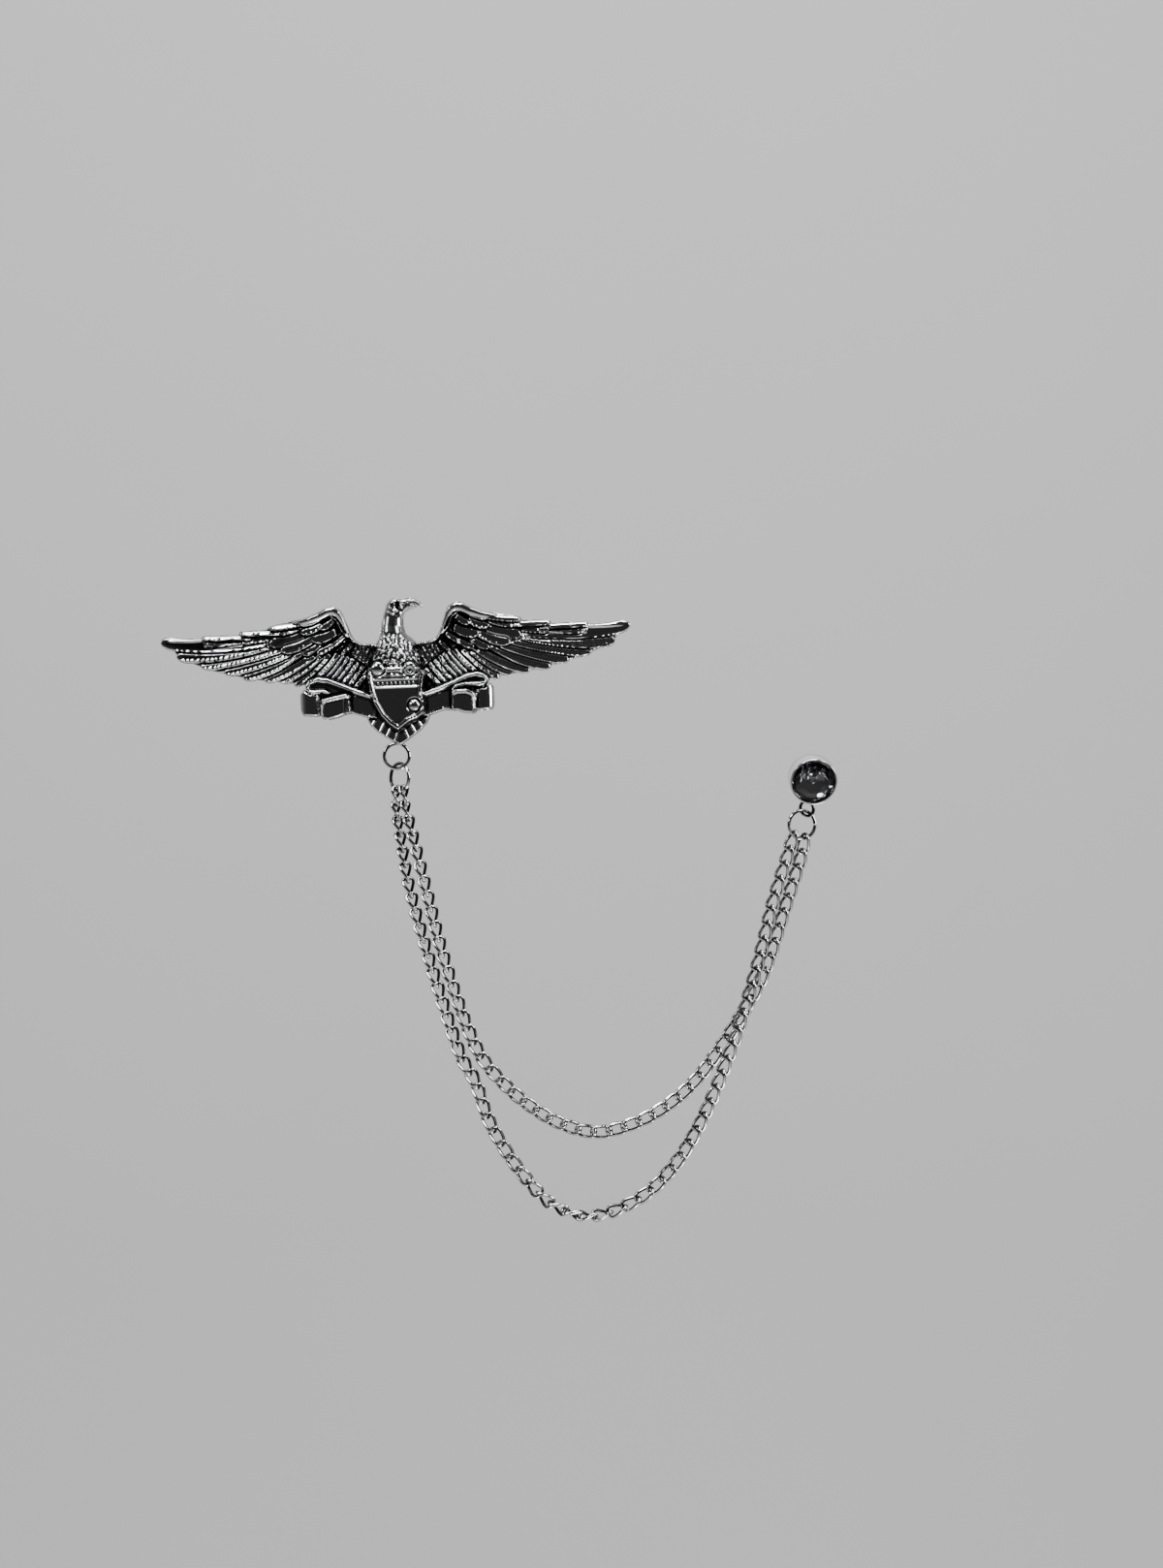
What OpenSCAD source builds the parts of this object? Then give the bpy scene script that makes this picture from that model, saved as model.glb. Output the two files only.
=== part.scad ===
// Eagle lapel pin with a two-strand chain that hangs to a stud with a cut stone.
// Millimetres. +Z up, +X to the viewer's right, the front faces -Y, and y = 0 is the cloth.
// The origin is the pin-on point, on the back of the eagle behind its shield.

/* [Eagle] */
// Height of the flat plate behind the wing feathers
plate_h = 1.0; // [0.8:0.05:1.2]
// How far a flight feather stands above the plate
vane_h = 0.45; // [0.3:0.05:0.6]
// Step up from each row of wing coverts to the next
row_step = 0.42; // [0.3:0.02:0.5]
// Height of the breast above the back
breast_h = 4.6; // [4.2:0.1:5]
// Turn of the eagle as it is worn, its left wing up
eagle_roll = 2.2; // [0:0.2:4]

/* [Shield and ribbon] */
// Height of the shield's field above the back
field_h = 4.3; // [4:0.1:4.6]
// Height of the shield's rim and cross bar above its field
rim_h = 0.6; // [0.4:0.1:0.8]
// Width of the shield's rim
rim_w = 0.5; // [0.4:0.05:0.6]
// Height of the ribbon's front fold above the back
ribbon_h = 4.2; // [3.8:0.1:4.4]

/* [Rings] */
// Wire diameter of the rings
ring_wire = 0.5; // [0.4:0.05:0.5]
// Outer diameter of the ring under the tail
tail_ring_d = 4.07; // [4:0.01:4.2]
// Outer diameter of the jump ring at the eagle
eagle_ring_d = 4.5; // [4.46:0.01:4.56]
// Outer diameter of the jump ring at the stud
stud_ring_d = 4.5; // [4.4:0.05:4.6]
// Width of the cut in a jump ring
ring_cut = 0.15; // [0.1:0.05:0.25]

/* [Chains] */
// Distance from one link to the next
link_pitch = 2.2; // [2.15:0.05:2.25]
// Wire diameter of a link
link_wire = 0.47; // [0.4:0.01:0.5]
// Half length of a link's centre line
link_a = 1.42; // [1.4:0.01:1.44]
// Half width of a link's centre line
link_b = 0.78; // [0.74:0.01:0.8]
// Twist of a link out of its plane, at the centre line
link_c = 0.5; // [0.46:0.01:0.52]

/* [Stud] */
// Outer diameter of the cup
cup_d = 6.7; // [6.5:0.1:7]
// Depth of the cup from its front rim to its back
cup_t = 3.1; // [2.9:0.1:3.4]
// Wall of the cup
cup_wall = 0.35; // [0.3:0.05:0.4]
// Turn of the cup towards the floor
cup_down = 17.8; // [12:0.2:20]
// Height of the cut stone's table above its girdle
crown_h = 0.75; // [0.6:0.05:0.85]

/* [Posts] */
// Diameter of a post
post_d = 1.15; // [1:0.05:1.2]
// Length of a post from its pad to the tip of its point
post_l = 8.5; // [7:0.5:10]
// Diameter of the pad that carries an eagle post
pad_d = 4.4; // [4:0.1:5]

/* [Hidden] */

gap = 0.05;             // between pieces that touch on the real pin
under = 1;              // how far the relief is drawn below the back before it is cut flat
pad_t = 0.6;            // thickness of an eagle post's pad
point_l = 1.2;          // cone at the end of a post
silver = [0.72, 0.73, 0.74];
dark_silver = [0.42, 0.43, 0.45];
stone_grey = [0.16, 0.17, 0.19];

// Flight feathers of the eagle's left wing, from the tip inwards:
// tip x, tip z, root x, root z, bow across the spine, width
FLIGHTS = [
    [33.4,  6.3, 18.5, 6.2, -1.10, 2.3],
    [29.2,  3.3, 16.8, 5.3, -0.75, 1.9],
    [26.0,  2.0, 15.4, 4.4, -0.80, 1.6],
    [23.3,  1.1, 14.0, 3.9, -0.90, 1.5],
    [20.9,  0.4, 12.6, 3.6, -0.95, 1.4],
    [18.1,  0.1, 11.3, 3.3, -0.80, 1.3],
    [15.9, -0.4, 10.1, 3.1, -0.70, 1.2],
    [14.1, -0.8,  9.0, 2.9, -0.55, 1.2],
    [12.3, -1.0,  7.6, 3.5, -0.40, 1.2],
    [10.6, -1.2,  6.7, 3.4, -0.30, 1.2],
    [ 9.0, -1.5,  5.8, 3.3, -0.25, 1.2],
    [ 7.4, -1.9,  5.0, 3.1, -0.20, 1.3]
];

// Rows of coverts over the roots of the flight feathers. The tips of each row lie on a bent
// line from the body outwards: inner x, inner z, middle x, middle z, outer x, outer z, number
COVERT_ROWS = [
    [5.2, 2.0, 12.6, 3.2, 26.0, 5.6, 13],
    [5.2, 3.5, 11.0, 4.7, 20.4, 6.7, 10],
    [6.0, 5.0,  9.9, 6.0, 15.8, 7.8,  7],
    [7.0, 6.6,  9.0, 7.3, 12.2, 8.8,  4]
];
covert_heading = [-66, -38];    // way that the scales point, at the body and at the tip
covert_w = 1.35;                // width of a scale
covert_notch = 0.6;             // depth of the notch between two scales

// Long feathers along the wing's leading edge: tip x, tip z, root x, root z, bow, width
LEADING = [
    [27.4, 6.7, 20.4, 6.7, 0.10, 0.95],
    [22.1, 7.2, 16.4, 7.4, 0.10, 1.05],
    [18.0, 7.9, 12.6, 8.6, 0.10, 1.20],
    [14.3, 8.8,  9.4, 9.7, 0.25, 1.30]
];

// Leading edge of the wing's plate from the tip to the body, and its trailing edge back: x, z
PLATE_LEAD = [[31.5, 6.0], [27.3, 6.3], [22.0, 6.8], [18.0, 7.4], [14.3, 8.4], [10.2, 9.5],
              [8.3, 10.1], [7.2, 8.8], [6.6, 6.3], [5.2, 4.6], [2.2, 4.4]];
PLATE_TRAIL = [[2.2, -1.5], [8.0, -0.9], [12.5, -0.1], [17.0, 0.9], [22.5, 2.2], [27.5, 4.3]];

// Head and neck as round lumps: x, z, height of the centre, radius
NECK = [[0.0, 3.6, 1.6, 2.9], [-0.45, 6.4, 1.7, 1.75], [-0.35, 8.6, 1.8, 1.55], [0.15, 10.0, 1.9, 1.5]];
BEAK = [[1.1, 10.35, 2.0, 0.95], [2.7, 10.65, 2.0, 0.62], [3.45, 10.45, 2.0, 0.35], [3.7, 10.0, 2.0, 0.16]];

// Right half of the shield's outline, from the bottom tip up: x, z
SHIELD_HALF = [[0.0, -7.35], [1.3, -6.35], [2.5, -5.2], [3.25, -3.6], [3.55, -1.9], [3.75, -0.2],
               [3.95, 0.8], [3.3, 1.45]];

// Half of the tail's fan, from the side to the middle: tip x, tip z, heading
TAIL = [[4.35, -5.7, -52], [3.75, -6.8, -56], [2.8, -7.75, -60], [1.65, -8.6, -67]];

tail_w = 1.35;           // width of a tail feather

// Scales of the breast: rows from the shield up, as z, half width, number
BREAST_ROWS = [[2.6, 2.3, 4], [3.7, 2.1, 3], [4.8, 1.3, 2]];

// The way of each strand from the eagle to the stud, after its first link and before its last:
// x, y, z, turn of the links about the strand
SHORT_WAY = [
    [ 2.1, -2.4, -21.5, -66], [ 4.2, -2.4, -30.0, -50], [ 7.1, -2.2, -41.0, -42],
    [11.2, -1.8, -52.2, -22], [15.4, -1.6, -57.7,  -8], [20.3, -1.5, -61.6,   0],
    [24.4, -1.5, -63.6,   0], [28.6, -1.5, -64.4,   0], [33.0, -1.5, -63.4,   0],
    [37.0, -1.4, -61.5,   0], [41.0, -1.2, -58.5,  -4], [44.4, -1.0, -54.6, -10],
    [48.8, -0.9, -48.0, -16], [52.2, -0.9, -41.6, -20], [55.0, -1.0, -33.0, -22]
];
LONG_WAY = [
    [ 0.3, -0.5, -21.5, -70], [ 1.7, -0.9, -29.5, -60], [ 4.3, -1.2, -39.0, -50],
    [ 8.6, -1.5, -52.4, -35], [11.2, -1.5, -57.5, -25], [12.9, -1.5, -62.4, -18],
    [15.2, -1.5, -66.6,  -6], [18.2, -1.5, -70.8,  16], [21.6, -1.5, -74.3,  50],
    [26.4, -1.5, -76.3,  95], [31.3, -1.5, -75.4, 138], [35.8, -1.6, -72.8, 165],
    [39.2, -1.8, -69.3, 175], [41.9, -2.0, -65.2, 160], [44.3, -2.3, -60.4, 152],
    [46.4, -2.7, -55.2, 149], [48.8, -3.0, -48.4, 148], [51.2, -2.8, -40.4, 148],
    [53.3, -2.2, -32.0, 148]
];

// Centres of the rings: x, y, z
tail_ring_at = [-0.45, -11.02, 1.3];      // in the eagle's own plane, with its height last
eagle_ring_at = [0.4, -1.3, -14.075];
stud_at = [58.8, -1.2, -13.81];           // middle of the cup's back
stud_ring_at = [57.5, -1.37, -20.75];
eagle_ring_turn = -48;                    // about the vertical, 0 faces the viewer
stud_ring_turn = 20;
eagle_ring_cut = 205;                     // place of a ring's cut round it, from the right
stud_ring_cut = 0;
cup_side = 4.2;                           // turn of the cup to the side
eye_d = 2.7;                              // outer diameter of the eye under the cup
eye_clock = 8;                            // place of the eye round the cup, from straight down
eye_turn = -40;                           // turn of the eye about its own stem

eagle_post_x = 14;
eagle_post_z = 4.4;
stone_r = cup_d / 2 - cup_wall - 0.1;
stone_table_r = 1.65;
stone_cone_h = 1.6;

function unit(v) = v / norm(v);
function mix(a, b, t) = a + (b - a) * t;
function bend(a, b, c, t) = mix(mix(a, b, t), mix(b, c, t), t);

// Outline of one feather along a bent spine, with a blunt tip
function feather(root, tip, bow, w) =
    let (way = unit(tip - root), side = [-way[1], way[0]],
         stations = [[0, 0.85], [0.6, 1], [0.9, 0.8], [1, 0.2]],
         edge = function(s, k) mix(root, tip, s[0]) + side * (4 * bow * s[0] * (1 - s[0]) + k * w * s[1] / 2))
    concat([for (s = stations) edge(s, -1)], [for (i = [len(stations) - 1:-1:0]) edge(stations[i], 1)]);

// Flat shape drawn up from below the back to a height
module raised(h) {
    translate([0, 0, -under]) linear_extrude(h + under) children();
}

// Outline of one row of coverts: scallops along its tips, then the wing's leading edge back
module scale_row(row) {
    tips = [for (i = [0:row[6] - 1])
        let (t = i / (row[6] - 1), a = mix(covert_heading[0], covert_heading[1], t))
        [bend([row[0], row[1]], [row[2], row[3]], [row[4], row[5]], t), [cos(a), sin(a)]]];
    scallops = [for (p = tips)
        let (tip = p[0], way = p[1], side = [-way[1], way[0]])
        each [tip - way * covert_notch - side * covert_w * 0.45, tip - side * covert_w * 0.2,
              tip + side * covert_w * 0.2]];
    polygon(concat(scallops, [for (p = PLATE_LEAD) if (p[0] < row[4] && p[0] > row[0]) p]));
}

// The wing on the +X side, lying in the XY plane with its relief up
module wing() {
    raised(plate_h) polygon(concat(PLATE_LEAD, PLATE_TRAIL));
    for (i = [0:len(FLIGHTS) - 1])
        let (f = FLIGHTS[i])
        raised(plate_h + vane_h * (i % 2 == 0 ? 1 : 0.45))
            polygon(feather([f[2], f[3]], [f[0], f[1]], f[4], f[5]));
    for (r = [0:len(COVERT_ROWS) - 1])
        raised(plate_h + vane_h + row_step * (r + 1)) scale_row(COVERT_ROWS[r]);
    for (i = [0:len(LEADING) - 1])
        let (f = LEADING[i])
        raised(plate_h + vane_h + row_step * (i + 1.4))
            polygon(feather([f[2], f[3]], [f[0], f[1]], f[4], f[5]));
    shoulder_h = plate_h + vane_h + row_step * 4;
    hull() {
        translate([8.6, 9.0, shoulder_h - 0.9]) sphere(1.35, $fn = 12);
        translate([10.6, 8.9, shoulder_h - 1.3]) sphere(0.9, $fn = 8);
        translate([8.5, 9.1, -under]) cylinder(0.2, r = 1.2, $fn = 8);
    }
}

// Round lumps run together, such as the neck
module lumps(table, sides) {
    for (i = [0:len(table) - 2])
        hull()
            for (p = [table[i], table[i + 1]])
                translate([p[0], p[1], p[2]]) sphere(p[3], $fn = sides);
}

module head_and_body() {
    translate([0, 2.4, 0]) scale([3.7, 4.2, breast_h]) sphere(1, $fn = 12);
    lumps(NECK, 10);
    lumps(BEAK, 6);
    for (row = BREAST_ROWS, i = [0:row[2] - 1])
        let (x = mix(-row[1], row[1], i / (row[2] - 1)),
             h = breast_h * sqrt(max(0.05, 1 - pow(x / 3.7, 2) - pow((row[0] - 2.4) / 4.2, 2))))
        hull() {
            translate([x, row[0] + 0.4, h - 0.5]) cylinder(0.4, r = 0.5, $fn = 4);
            translate([x, row[0] - 0.4, h - 0.2]) cylinder(0.4, r = 0.2, $fn = 4);
        }
}

module shield_outline() {
    polygon(concat(SHIELD_HALF, [for (i = [len(SHIELD_HALF) - 1:-1:0]) [-SHIELD_HALF[i][0], SHIELD_HALF[i][1]]]));
}

module shield() {
    raised(field_h) shield_outline();
    raised(field_h + rim_h) difference() {
        shield_outline();
        offset(delta = -rim_w) shield_outline();
    }
    raised(field_h + rim_h) translate([-3, -1.2]) square([6, 1.25]);
    for (s = [-1, 1])
        translate([s * 2.35, 1.3, field_h - 0.07]) rotate([0, 0, 10]) sphere(1.1, $fn = 8);
    translate([2.35, -3.97, field_h]) sphere(0.75, $fn = 8);
}

module tail() {
    raised(plate_h)
        polygon([[-3.6, -3], [-4.3, -5.6], [-2.6, -7.6], [0, -8.9], [2.6, -7.6], [4.3, -5.6], [3.6, -3]]);
    for (s = [-1, 1], i = [0:len(TAIL) - 1])
        let (f = TAIL[i], a = 90 - s * (90 - f[2]), tip = [s * f[0], f[1]])
        raised(plate_h + vane_h * (i % 2 == 0 ? 2 : 1.4))
            polygon(feather(tip - 3.6 * [cos(a), sin(a)], tip, 0, tail_w));
    raised(plate_h + vane_h * 2.4) polygon(feather([0, -5], [0, -9.45], 0, tail_w));
}

// A standing slab of ribbon between two heights: corners as x, z
module slab(corners, low, high) {
    hull() {
        raised(low) polygon(corners);
        raised(high) offset(delta = -0.25) polygon(corners);
    }
}

// The ribbon on the +X side: main band, rolled end behind and the fold in front
module ribbon() {
    slab([[3.2, -5.4], [3.2, -2.3], [5.8, -1.7], [7.9, -0.75], [7.9, -4.3], [5.2, -5.0]], 2.35, 2.85);
    slab([[7.0, -4.2], [7.0, -1.1], [9.8, 0.15], [11.4, 0.5], [12.5, 0.2], [13.2, -0.7], [10, -3.4]], 2.0, 2.5);
    slab([[10.6, -4.8], [10.6, -1.2], [12.2, -0.5], [13.7, -1.0], [13.8, -3.6], [13.5, -4.4]], 2.6, 3.3);
    slab([[6.6, -4.7], [7.0, -1.9], [8.1, -1.7], [8.4, -5.0]], 3.0, 3.45);
    slab([[8.2, -5.0], [8.1, -1.8], [9.5, -2.2], [10.8, -2.4], [10.8, -5.4], [9.7, -5.5]], ribbon_h - 0.6, ribbon_h);
}

module tail_ring() {
    translate(tail_ring_at)
        rotate_extrude($fn = 16)
            translate([(tail_ring_d - ring_wire) / 2, 0]) circle(d = ring_wire, $fn = 6);
}

module eagle() {
    color(dark_silver)
        rotate([90, 0, 0]) rotate([0, 0, eagle_roll])
            intersection() {
                union() {
                    for (s = [0, 1]) mirror([s, 0, 0]) {
                        wing();
                        ribbon();
                    }
                    head_and_body();
                    shield();
                    tail();
                    tail_ring();
                }
                translate([-50, -50, 0]) cube([100, 100, 20]);
            }
}

// Hidden post with the pad that fixes it to the eagle's back, then the point
module post(with_pad) {
    rotate([-90, 0, 0]) {
        if (with_pad) cylinder(pad_t, d = pad_d, $fn = 48);
        cylinder(post_l - point_l, d = post_d, $fn = 48);
        translate([0, 0, post_l - point_l]) cylinder(point_l, d1 = post_d, d2 = 0.2, $fn = 48);
    }
}

module eagle_post(s) {
    color(silver)
        rotate([0, -eagle_roll, 0]) translate([s * eagle_post_x, gap, eagle_post_z]) post(true);
}

// Jump ring of round wire with its cut turned to a clock angle
module jump_ring(at, d, wire, turn, cut_clock) {
    r = (d - wire) / 2;
    cut = ring_cut / r * 180 / PI;
    color(silver)
        translate(at) rotate([90, 0, turn]) rotate([0, 0, cut_clock + cut / 2])
            rotate_extrude(angle = 360 - cut, $fn = 64) translate([r, 0]) circle(d = wire, $fn = 32);
}

// Point of a jump ring at a clock angle from straight down, and the way out of the ring there
function ring_out(turn, clock) = [sin(clock) * cos(turn), sin(clock) * sin(turn), -cos(clock)];
function ring_point(at, d, turn, clock) = at + ring_out(turn, clock) * (d - ring_wire) / 2;

// Smooth curve through way points, as steps short enough to measure along
function curve_point(p, i, t) =
    let (n = len(p), a = i > 0 ? p[i - 1] : 2 * p[0] - p[1], b = p[i], c = p[i + 1],
         d = i + 2 < n ? p[i + 2] : 2 * p[n - 1] - p[n - 2])
    0.5 * (2 * b + (c - a) * t + (2 * a - 5 * b + 4 * c - d) * t * t + (3 * b - a - 3 * c + d) * t * t * t);
function curve(p, steps) =
    [for (i = [0:len(p) - 2], k = [0:steps - 1]) curve_point(p, i, k / steps), p[len(p) - 1]];
function place(v) = [v[0], v[1], v[2]];
function along(c, i = 0, sum = 0, out = []) =
    i == len(c) ? out
    : let (s = i == 0 ? 0 : sum + norm(place(c[i]) - place(c[i - 1]))) along(c, i + 1, s, concat(out, [s]));

// Centre line of one link at an angle round it: along the strand, across it, out of it
link_fullness = 2.4;
function full(v) = sign(v) * pow(abs(v), 2 / link_fullness);
function link_line(t) = [link_a * full(cos(t)), link_b * full(sin(t)), -link_c * sin(2 * t)];

link_sides = 10;
wire_sides = 5;
link_points = [for (k = [0:link_sides - 1])
    let (t = (k + 0.5) * 360 / link_sides, c = link_line(t),
         ahead = unit(link_line(t + 12) - link_line(t - 12)),
         out = unit(c - ahead * (c * ahead)), up = cross(ahead, out))
    for (j = [0:wire_sides - 1])
        let (u = j * 360 / wire_sides)
        c + (out * cos(u) + up * sin(u)) * link_wire / 2];
link_faces = [for (k = [0:link_sides - 1], j = [0:wire_sides - 1])
    let (a = k * wire_sides, b = ((k + 1) % link_sides) * wire_sides, m = (j + 1) % wire_sides)
    each [[a + j, a + m, b + m], [a + j, b + m, b + j]]];

// A whole strand of curb links along its way, one closed shell for each link
module strand(way) {
    line = curve(way, 8);
    marks = along(line);
    total = marks[len(marks) - 1];
    n = round(total / link_pitch);
    table = [for (k = [0:3]) [for (i = [0:len(line) - 1]) [marks[i], line[i][k]]]];
    size = link_sides * wire_sides;
    feel = 0.3;   // distance either side of a link over which its heading is taken
    points = [for (i = [0:n])
        let (s = total * i / n,
             c = [for (k = [0:2]) lookup(s, table[k])],
             back = [for (k = [0:2]) lookup(s - feel, table[k])],
             ahead = [for (k = [0:2]) lookup(s + feel, table[k])],
             t = unit(ahead - back), u = unit(cross(t, [0, 1, 0])), v = cross(t, u),
             turn = lookup(s, table[3]),
             w = u * cos(turn) + v * sin(turn), out = cross(t, w))
        for (p = link_points) c + t * p[0] + w * p[1] + out * p[2]];
    polyhedron(points = points, faces = [for (i = [0:n], f = link_faces) [for (v = f) v + i * size]]);
}

// The two way points where a strand hangs on a ring: the centre of the link that the ring's
// wire passes through at a clock angle, and a point further out along the pull of the strand
hook_in = link_pitch - link_a;
function hung(at, d, turn, clock, pull, link_turn) =
    let (start = ring_point(at, d, turn, clock), out = unit(pull))
    [for (reach = [hook_in, hook_in + link_pitch]) [each (start + out * reach), link_turn]];
function reversed(list) = [for (i = [len(list) - 1:-1:0]) list[i]];

short_way = concat(
    hung(eagle_ring_at, eagle_ring_d, eagle_ring_turn, 24, [0.15, -0.15, -1], -80),
    SHORT_WAY,
    reversed(hung(stud_ring_at, stud_ring_d, stud_ring_turn, 12, [-0.2, 0.1, -1], -22)));
long_way = concat(
    hung(eagle_ring_at, eagle_ring_d, eagle_ring_turn, -22, [0, 0.15, -1], -80),
    LONG_WAY,
    reversed(hung(stud_ring_at, stud_ring_d, stud_ring_turn, -40, [-0.3, -0.1, -1], 150)));

module stud_frame() {
    translate(stud_at) rotate([cup_down, 0, cup_side]) children();
}

// Cup, eye and post of the stud, soldered into one
module stud_cup() {
    seat = 0.45;
    eye_r = (eye_d - ring_wire) / 2;
    color(silver) stud_frame() {
        rotate([90, 0, 0]) difference() {
            cylinder(cup_t, d = cup_d, $fn = 64);
            translate([0, 0, seat]) cylinder(cup_t, d = cup_d - 2 * cup_wall, $fn = 64);
        }
        rotate([0, eye_clock, 0]) translate([0, -cup_t / 2, -cup_d / 2 - eye_r])
            rotate([90, 0, eye_turn])
                rotate_extrude($fn = 64) translate([eye_r, 0]) circle(d = ring_wire, $fn = 32);
        translate([0, -0.1, 0]) post(false);
    }
}

// Brilliant cut: table, crown with stars, kites and girdle facets, and a shallow pavilion
module stud_stone() {
    girdle_z = cup_t - crown_h + 0.1;
    color(stone_grey) stud_frame() rotate([90, 0, 0]) translate([0, 0, girdle_z])
        hull() {
            translate([0, 0, crown_h - 0.01]) cylinder(0.01, r = stone_table_r, $fn = 8);
            rotate([0, 0, 22.5]) translate([0, 0, crown_h * 0.6])
                cylinder(0.001, r = mix(stone_r, stone_table_r, 0.52), $fn = 8);
            translate([0, 0, -0.08]) cylinder(0.08, r = stone_r, $fn = 16);
            rotate([0, 0, 22.5]) translate([0, 0, -stone_cone_h]) cylinder(0.001, r = 0.2, $fn = 8);
        }
}

eagle();
eagle_post(-1);  // eagle_post_left
eagle_post(1);  // eagle_post_right
jump_ring(eagle_ring_at, eagle_ring_d, ring_wire, eagle_ring_turn, eagle_ring_cut);  // jump_ring_eagle
color(silver) strand(short_way);  // chain_short
color(silver) strand(long_way);  // chain_long
jump_ring(stud_ring_at, stud_ring_d, ring_wire, stud_ring_turn, stud_ring_cut);  // jump_ring_stud
stud_cup();
stud_stone();
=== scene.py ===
"""Looks of an eagle lapel pin: a cast eagle with shield and ribbon, and two strands of curb chain
that hang from it to a round stud with a cut stone. Sizes are in millimetres until a mesh is made."""
import logging
import math
from collections.abc import Callable, Sequence
from dataclasses import dataclass
from enum import Enum, IntEnum

import bmesh
import bpy
import numpy as np
from mathutils import Matrix, Vector


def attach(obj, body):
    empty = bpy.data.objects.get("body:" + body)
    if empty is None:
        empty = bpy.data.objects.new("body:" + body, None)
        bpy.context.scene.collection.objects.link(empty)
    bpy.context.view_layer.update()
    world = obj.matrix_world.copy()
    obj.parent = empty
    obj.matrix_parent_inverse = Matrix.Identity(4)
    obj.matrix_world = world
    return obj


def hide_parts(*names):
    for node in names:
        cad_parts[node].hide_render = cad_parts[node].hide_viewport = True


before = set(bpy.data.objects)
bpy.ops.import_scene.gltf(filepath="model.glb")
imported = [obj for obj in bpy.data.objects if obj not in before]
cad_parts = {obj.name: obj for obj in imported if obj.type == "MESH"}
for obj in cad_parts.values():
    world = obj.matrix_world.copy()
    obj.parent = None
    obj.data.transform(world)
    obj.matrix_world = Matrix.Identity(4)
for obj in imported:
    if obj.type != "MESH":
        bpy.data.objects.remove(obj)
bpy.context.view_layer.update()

MM = 0.001
BODY = "root"
LOG = logging.getLogger("pin")

# Diameter and wire of both jump rings, and the gap where they are cut
JUMP_RING = (4.5, 0.5)
JUMP_RING_CUT = 0.15

# The attribute that tells dark metal (low: hollows, and painted shade) from bright metal (high), and its
# usual values
RIDGE_AND_SHADE = "ridge"
WIRE_RIDGE = 0.35
FLAT_RIDGE = 0.6
SHINY_RIDGE = 0.75

# Depths of the lines that are pressed round the forms of the casting
FINE_GROOVE = 0.15
GROOVE = 0.2
DEEP_GROOVE = 0.22

Point = tuple[float, float]
Spot = tuple[float, float, float]
Box = tuple[float, float, float, float]
Row = tuple[float, ...]
Change = Callable[[np.ndarray, np.ndarray], np.ndarray]
Heights = Callable[[np.ndarray, np.ndarray, np.ndarray], np.ndarray]


class Side(IntEnum):
    """Side of the eagle, as the photograph shows it; also the sign of x there."""

    LEFT = -1
    RIGHT = 1


class Sock:
    """An output socket that takes part in Python arithmetic."""

    def __init__(self, graph: "Graph", socket: bpy.types.NodeSocket) -> None:
        """Keeps the socket and the graph that it belongs to."""
        self.graph, self.socket = graph, socket

    def __add__(self, other: "Sock | float") -> "Sock":
        """Sum."""
        return self.graph.math("ADD", self, other)

    def __radd__(self, other: float) -> "Sock":
        """Sum with a number on the left."""
        return self.graph.math("ADD", other, self)

    def __sub__(self, other: "Sock | float") -> "Sock":
        """Difference."""
        return self.graph.math("SUBTRACT", self, other)

    def __rsub__(self, other: float) -> "Sock":
        """Difference with a number on the left."""
        return self.graph.math("SUBTRACT", other, self)

    def __mul__(self, other: "Sock | float") -> "Sock":
        """Product."""
        return self.graph.math("MULTIPLY", self, other)

    def __rmul__(self, other: float) -> "Sock":
        """Product with a number on the left."""
        return self.graph.math("MULTIPLY", other, self)

    def __truediv__(self, other: "Sock | float") -> "Sock":
        """Quotient."""
        return self.graph.math("DIVIDE", self, other)

    def __rtruediv__(self, other: float) -> "Sock":
        """Quotient with a number on the left."""
        return self.graph.math("DIVIDE", other, self)

    def __pow__(self, other: "Sock | float") -> "Sock":
        """Power."""
        return self.graph.math("POWER", self, other)


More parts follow.
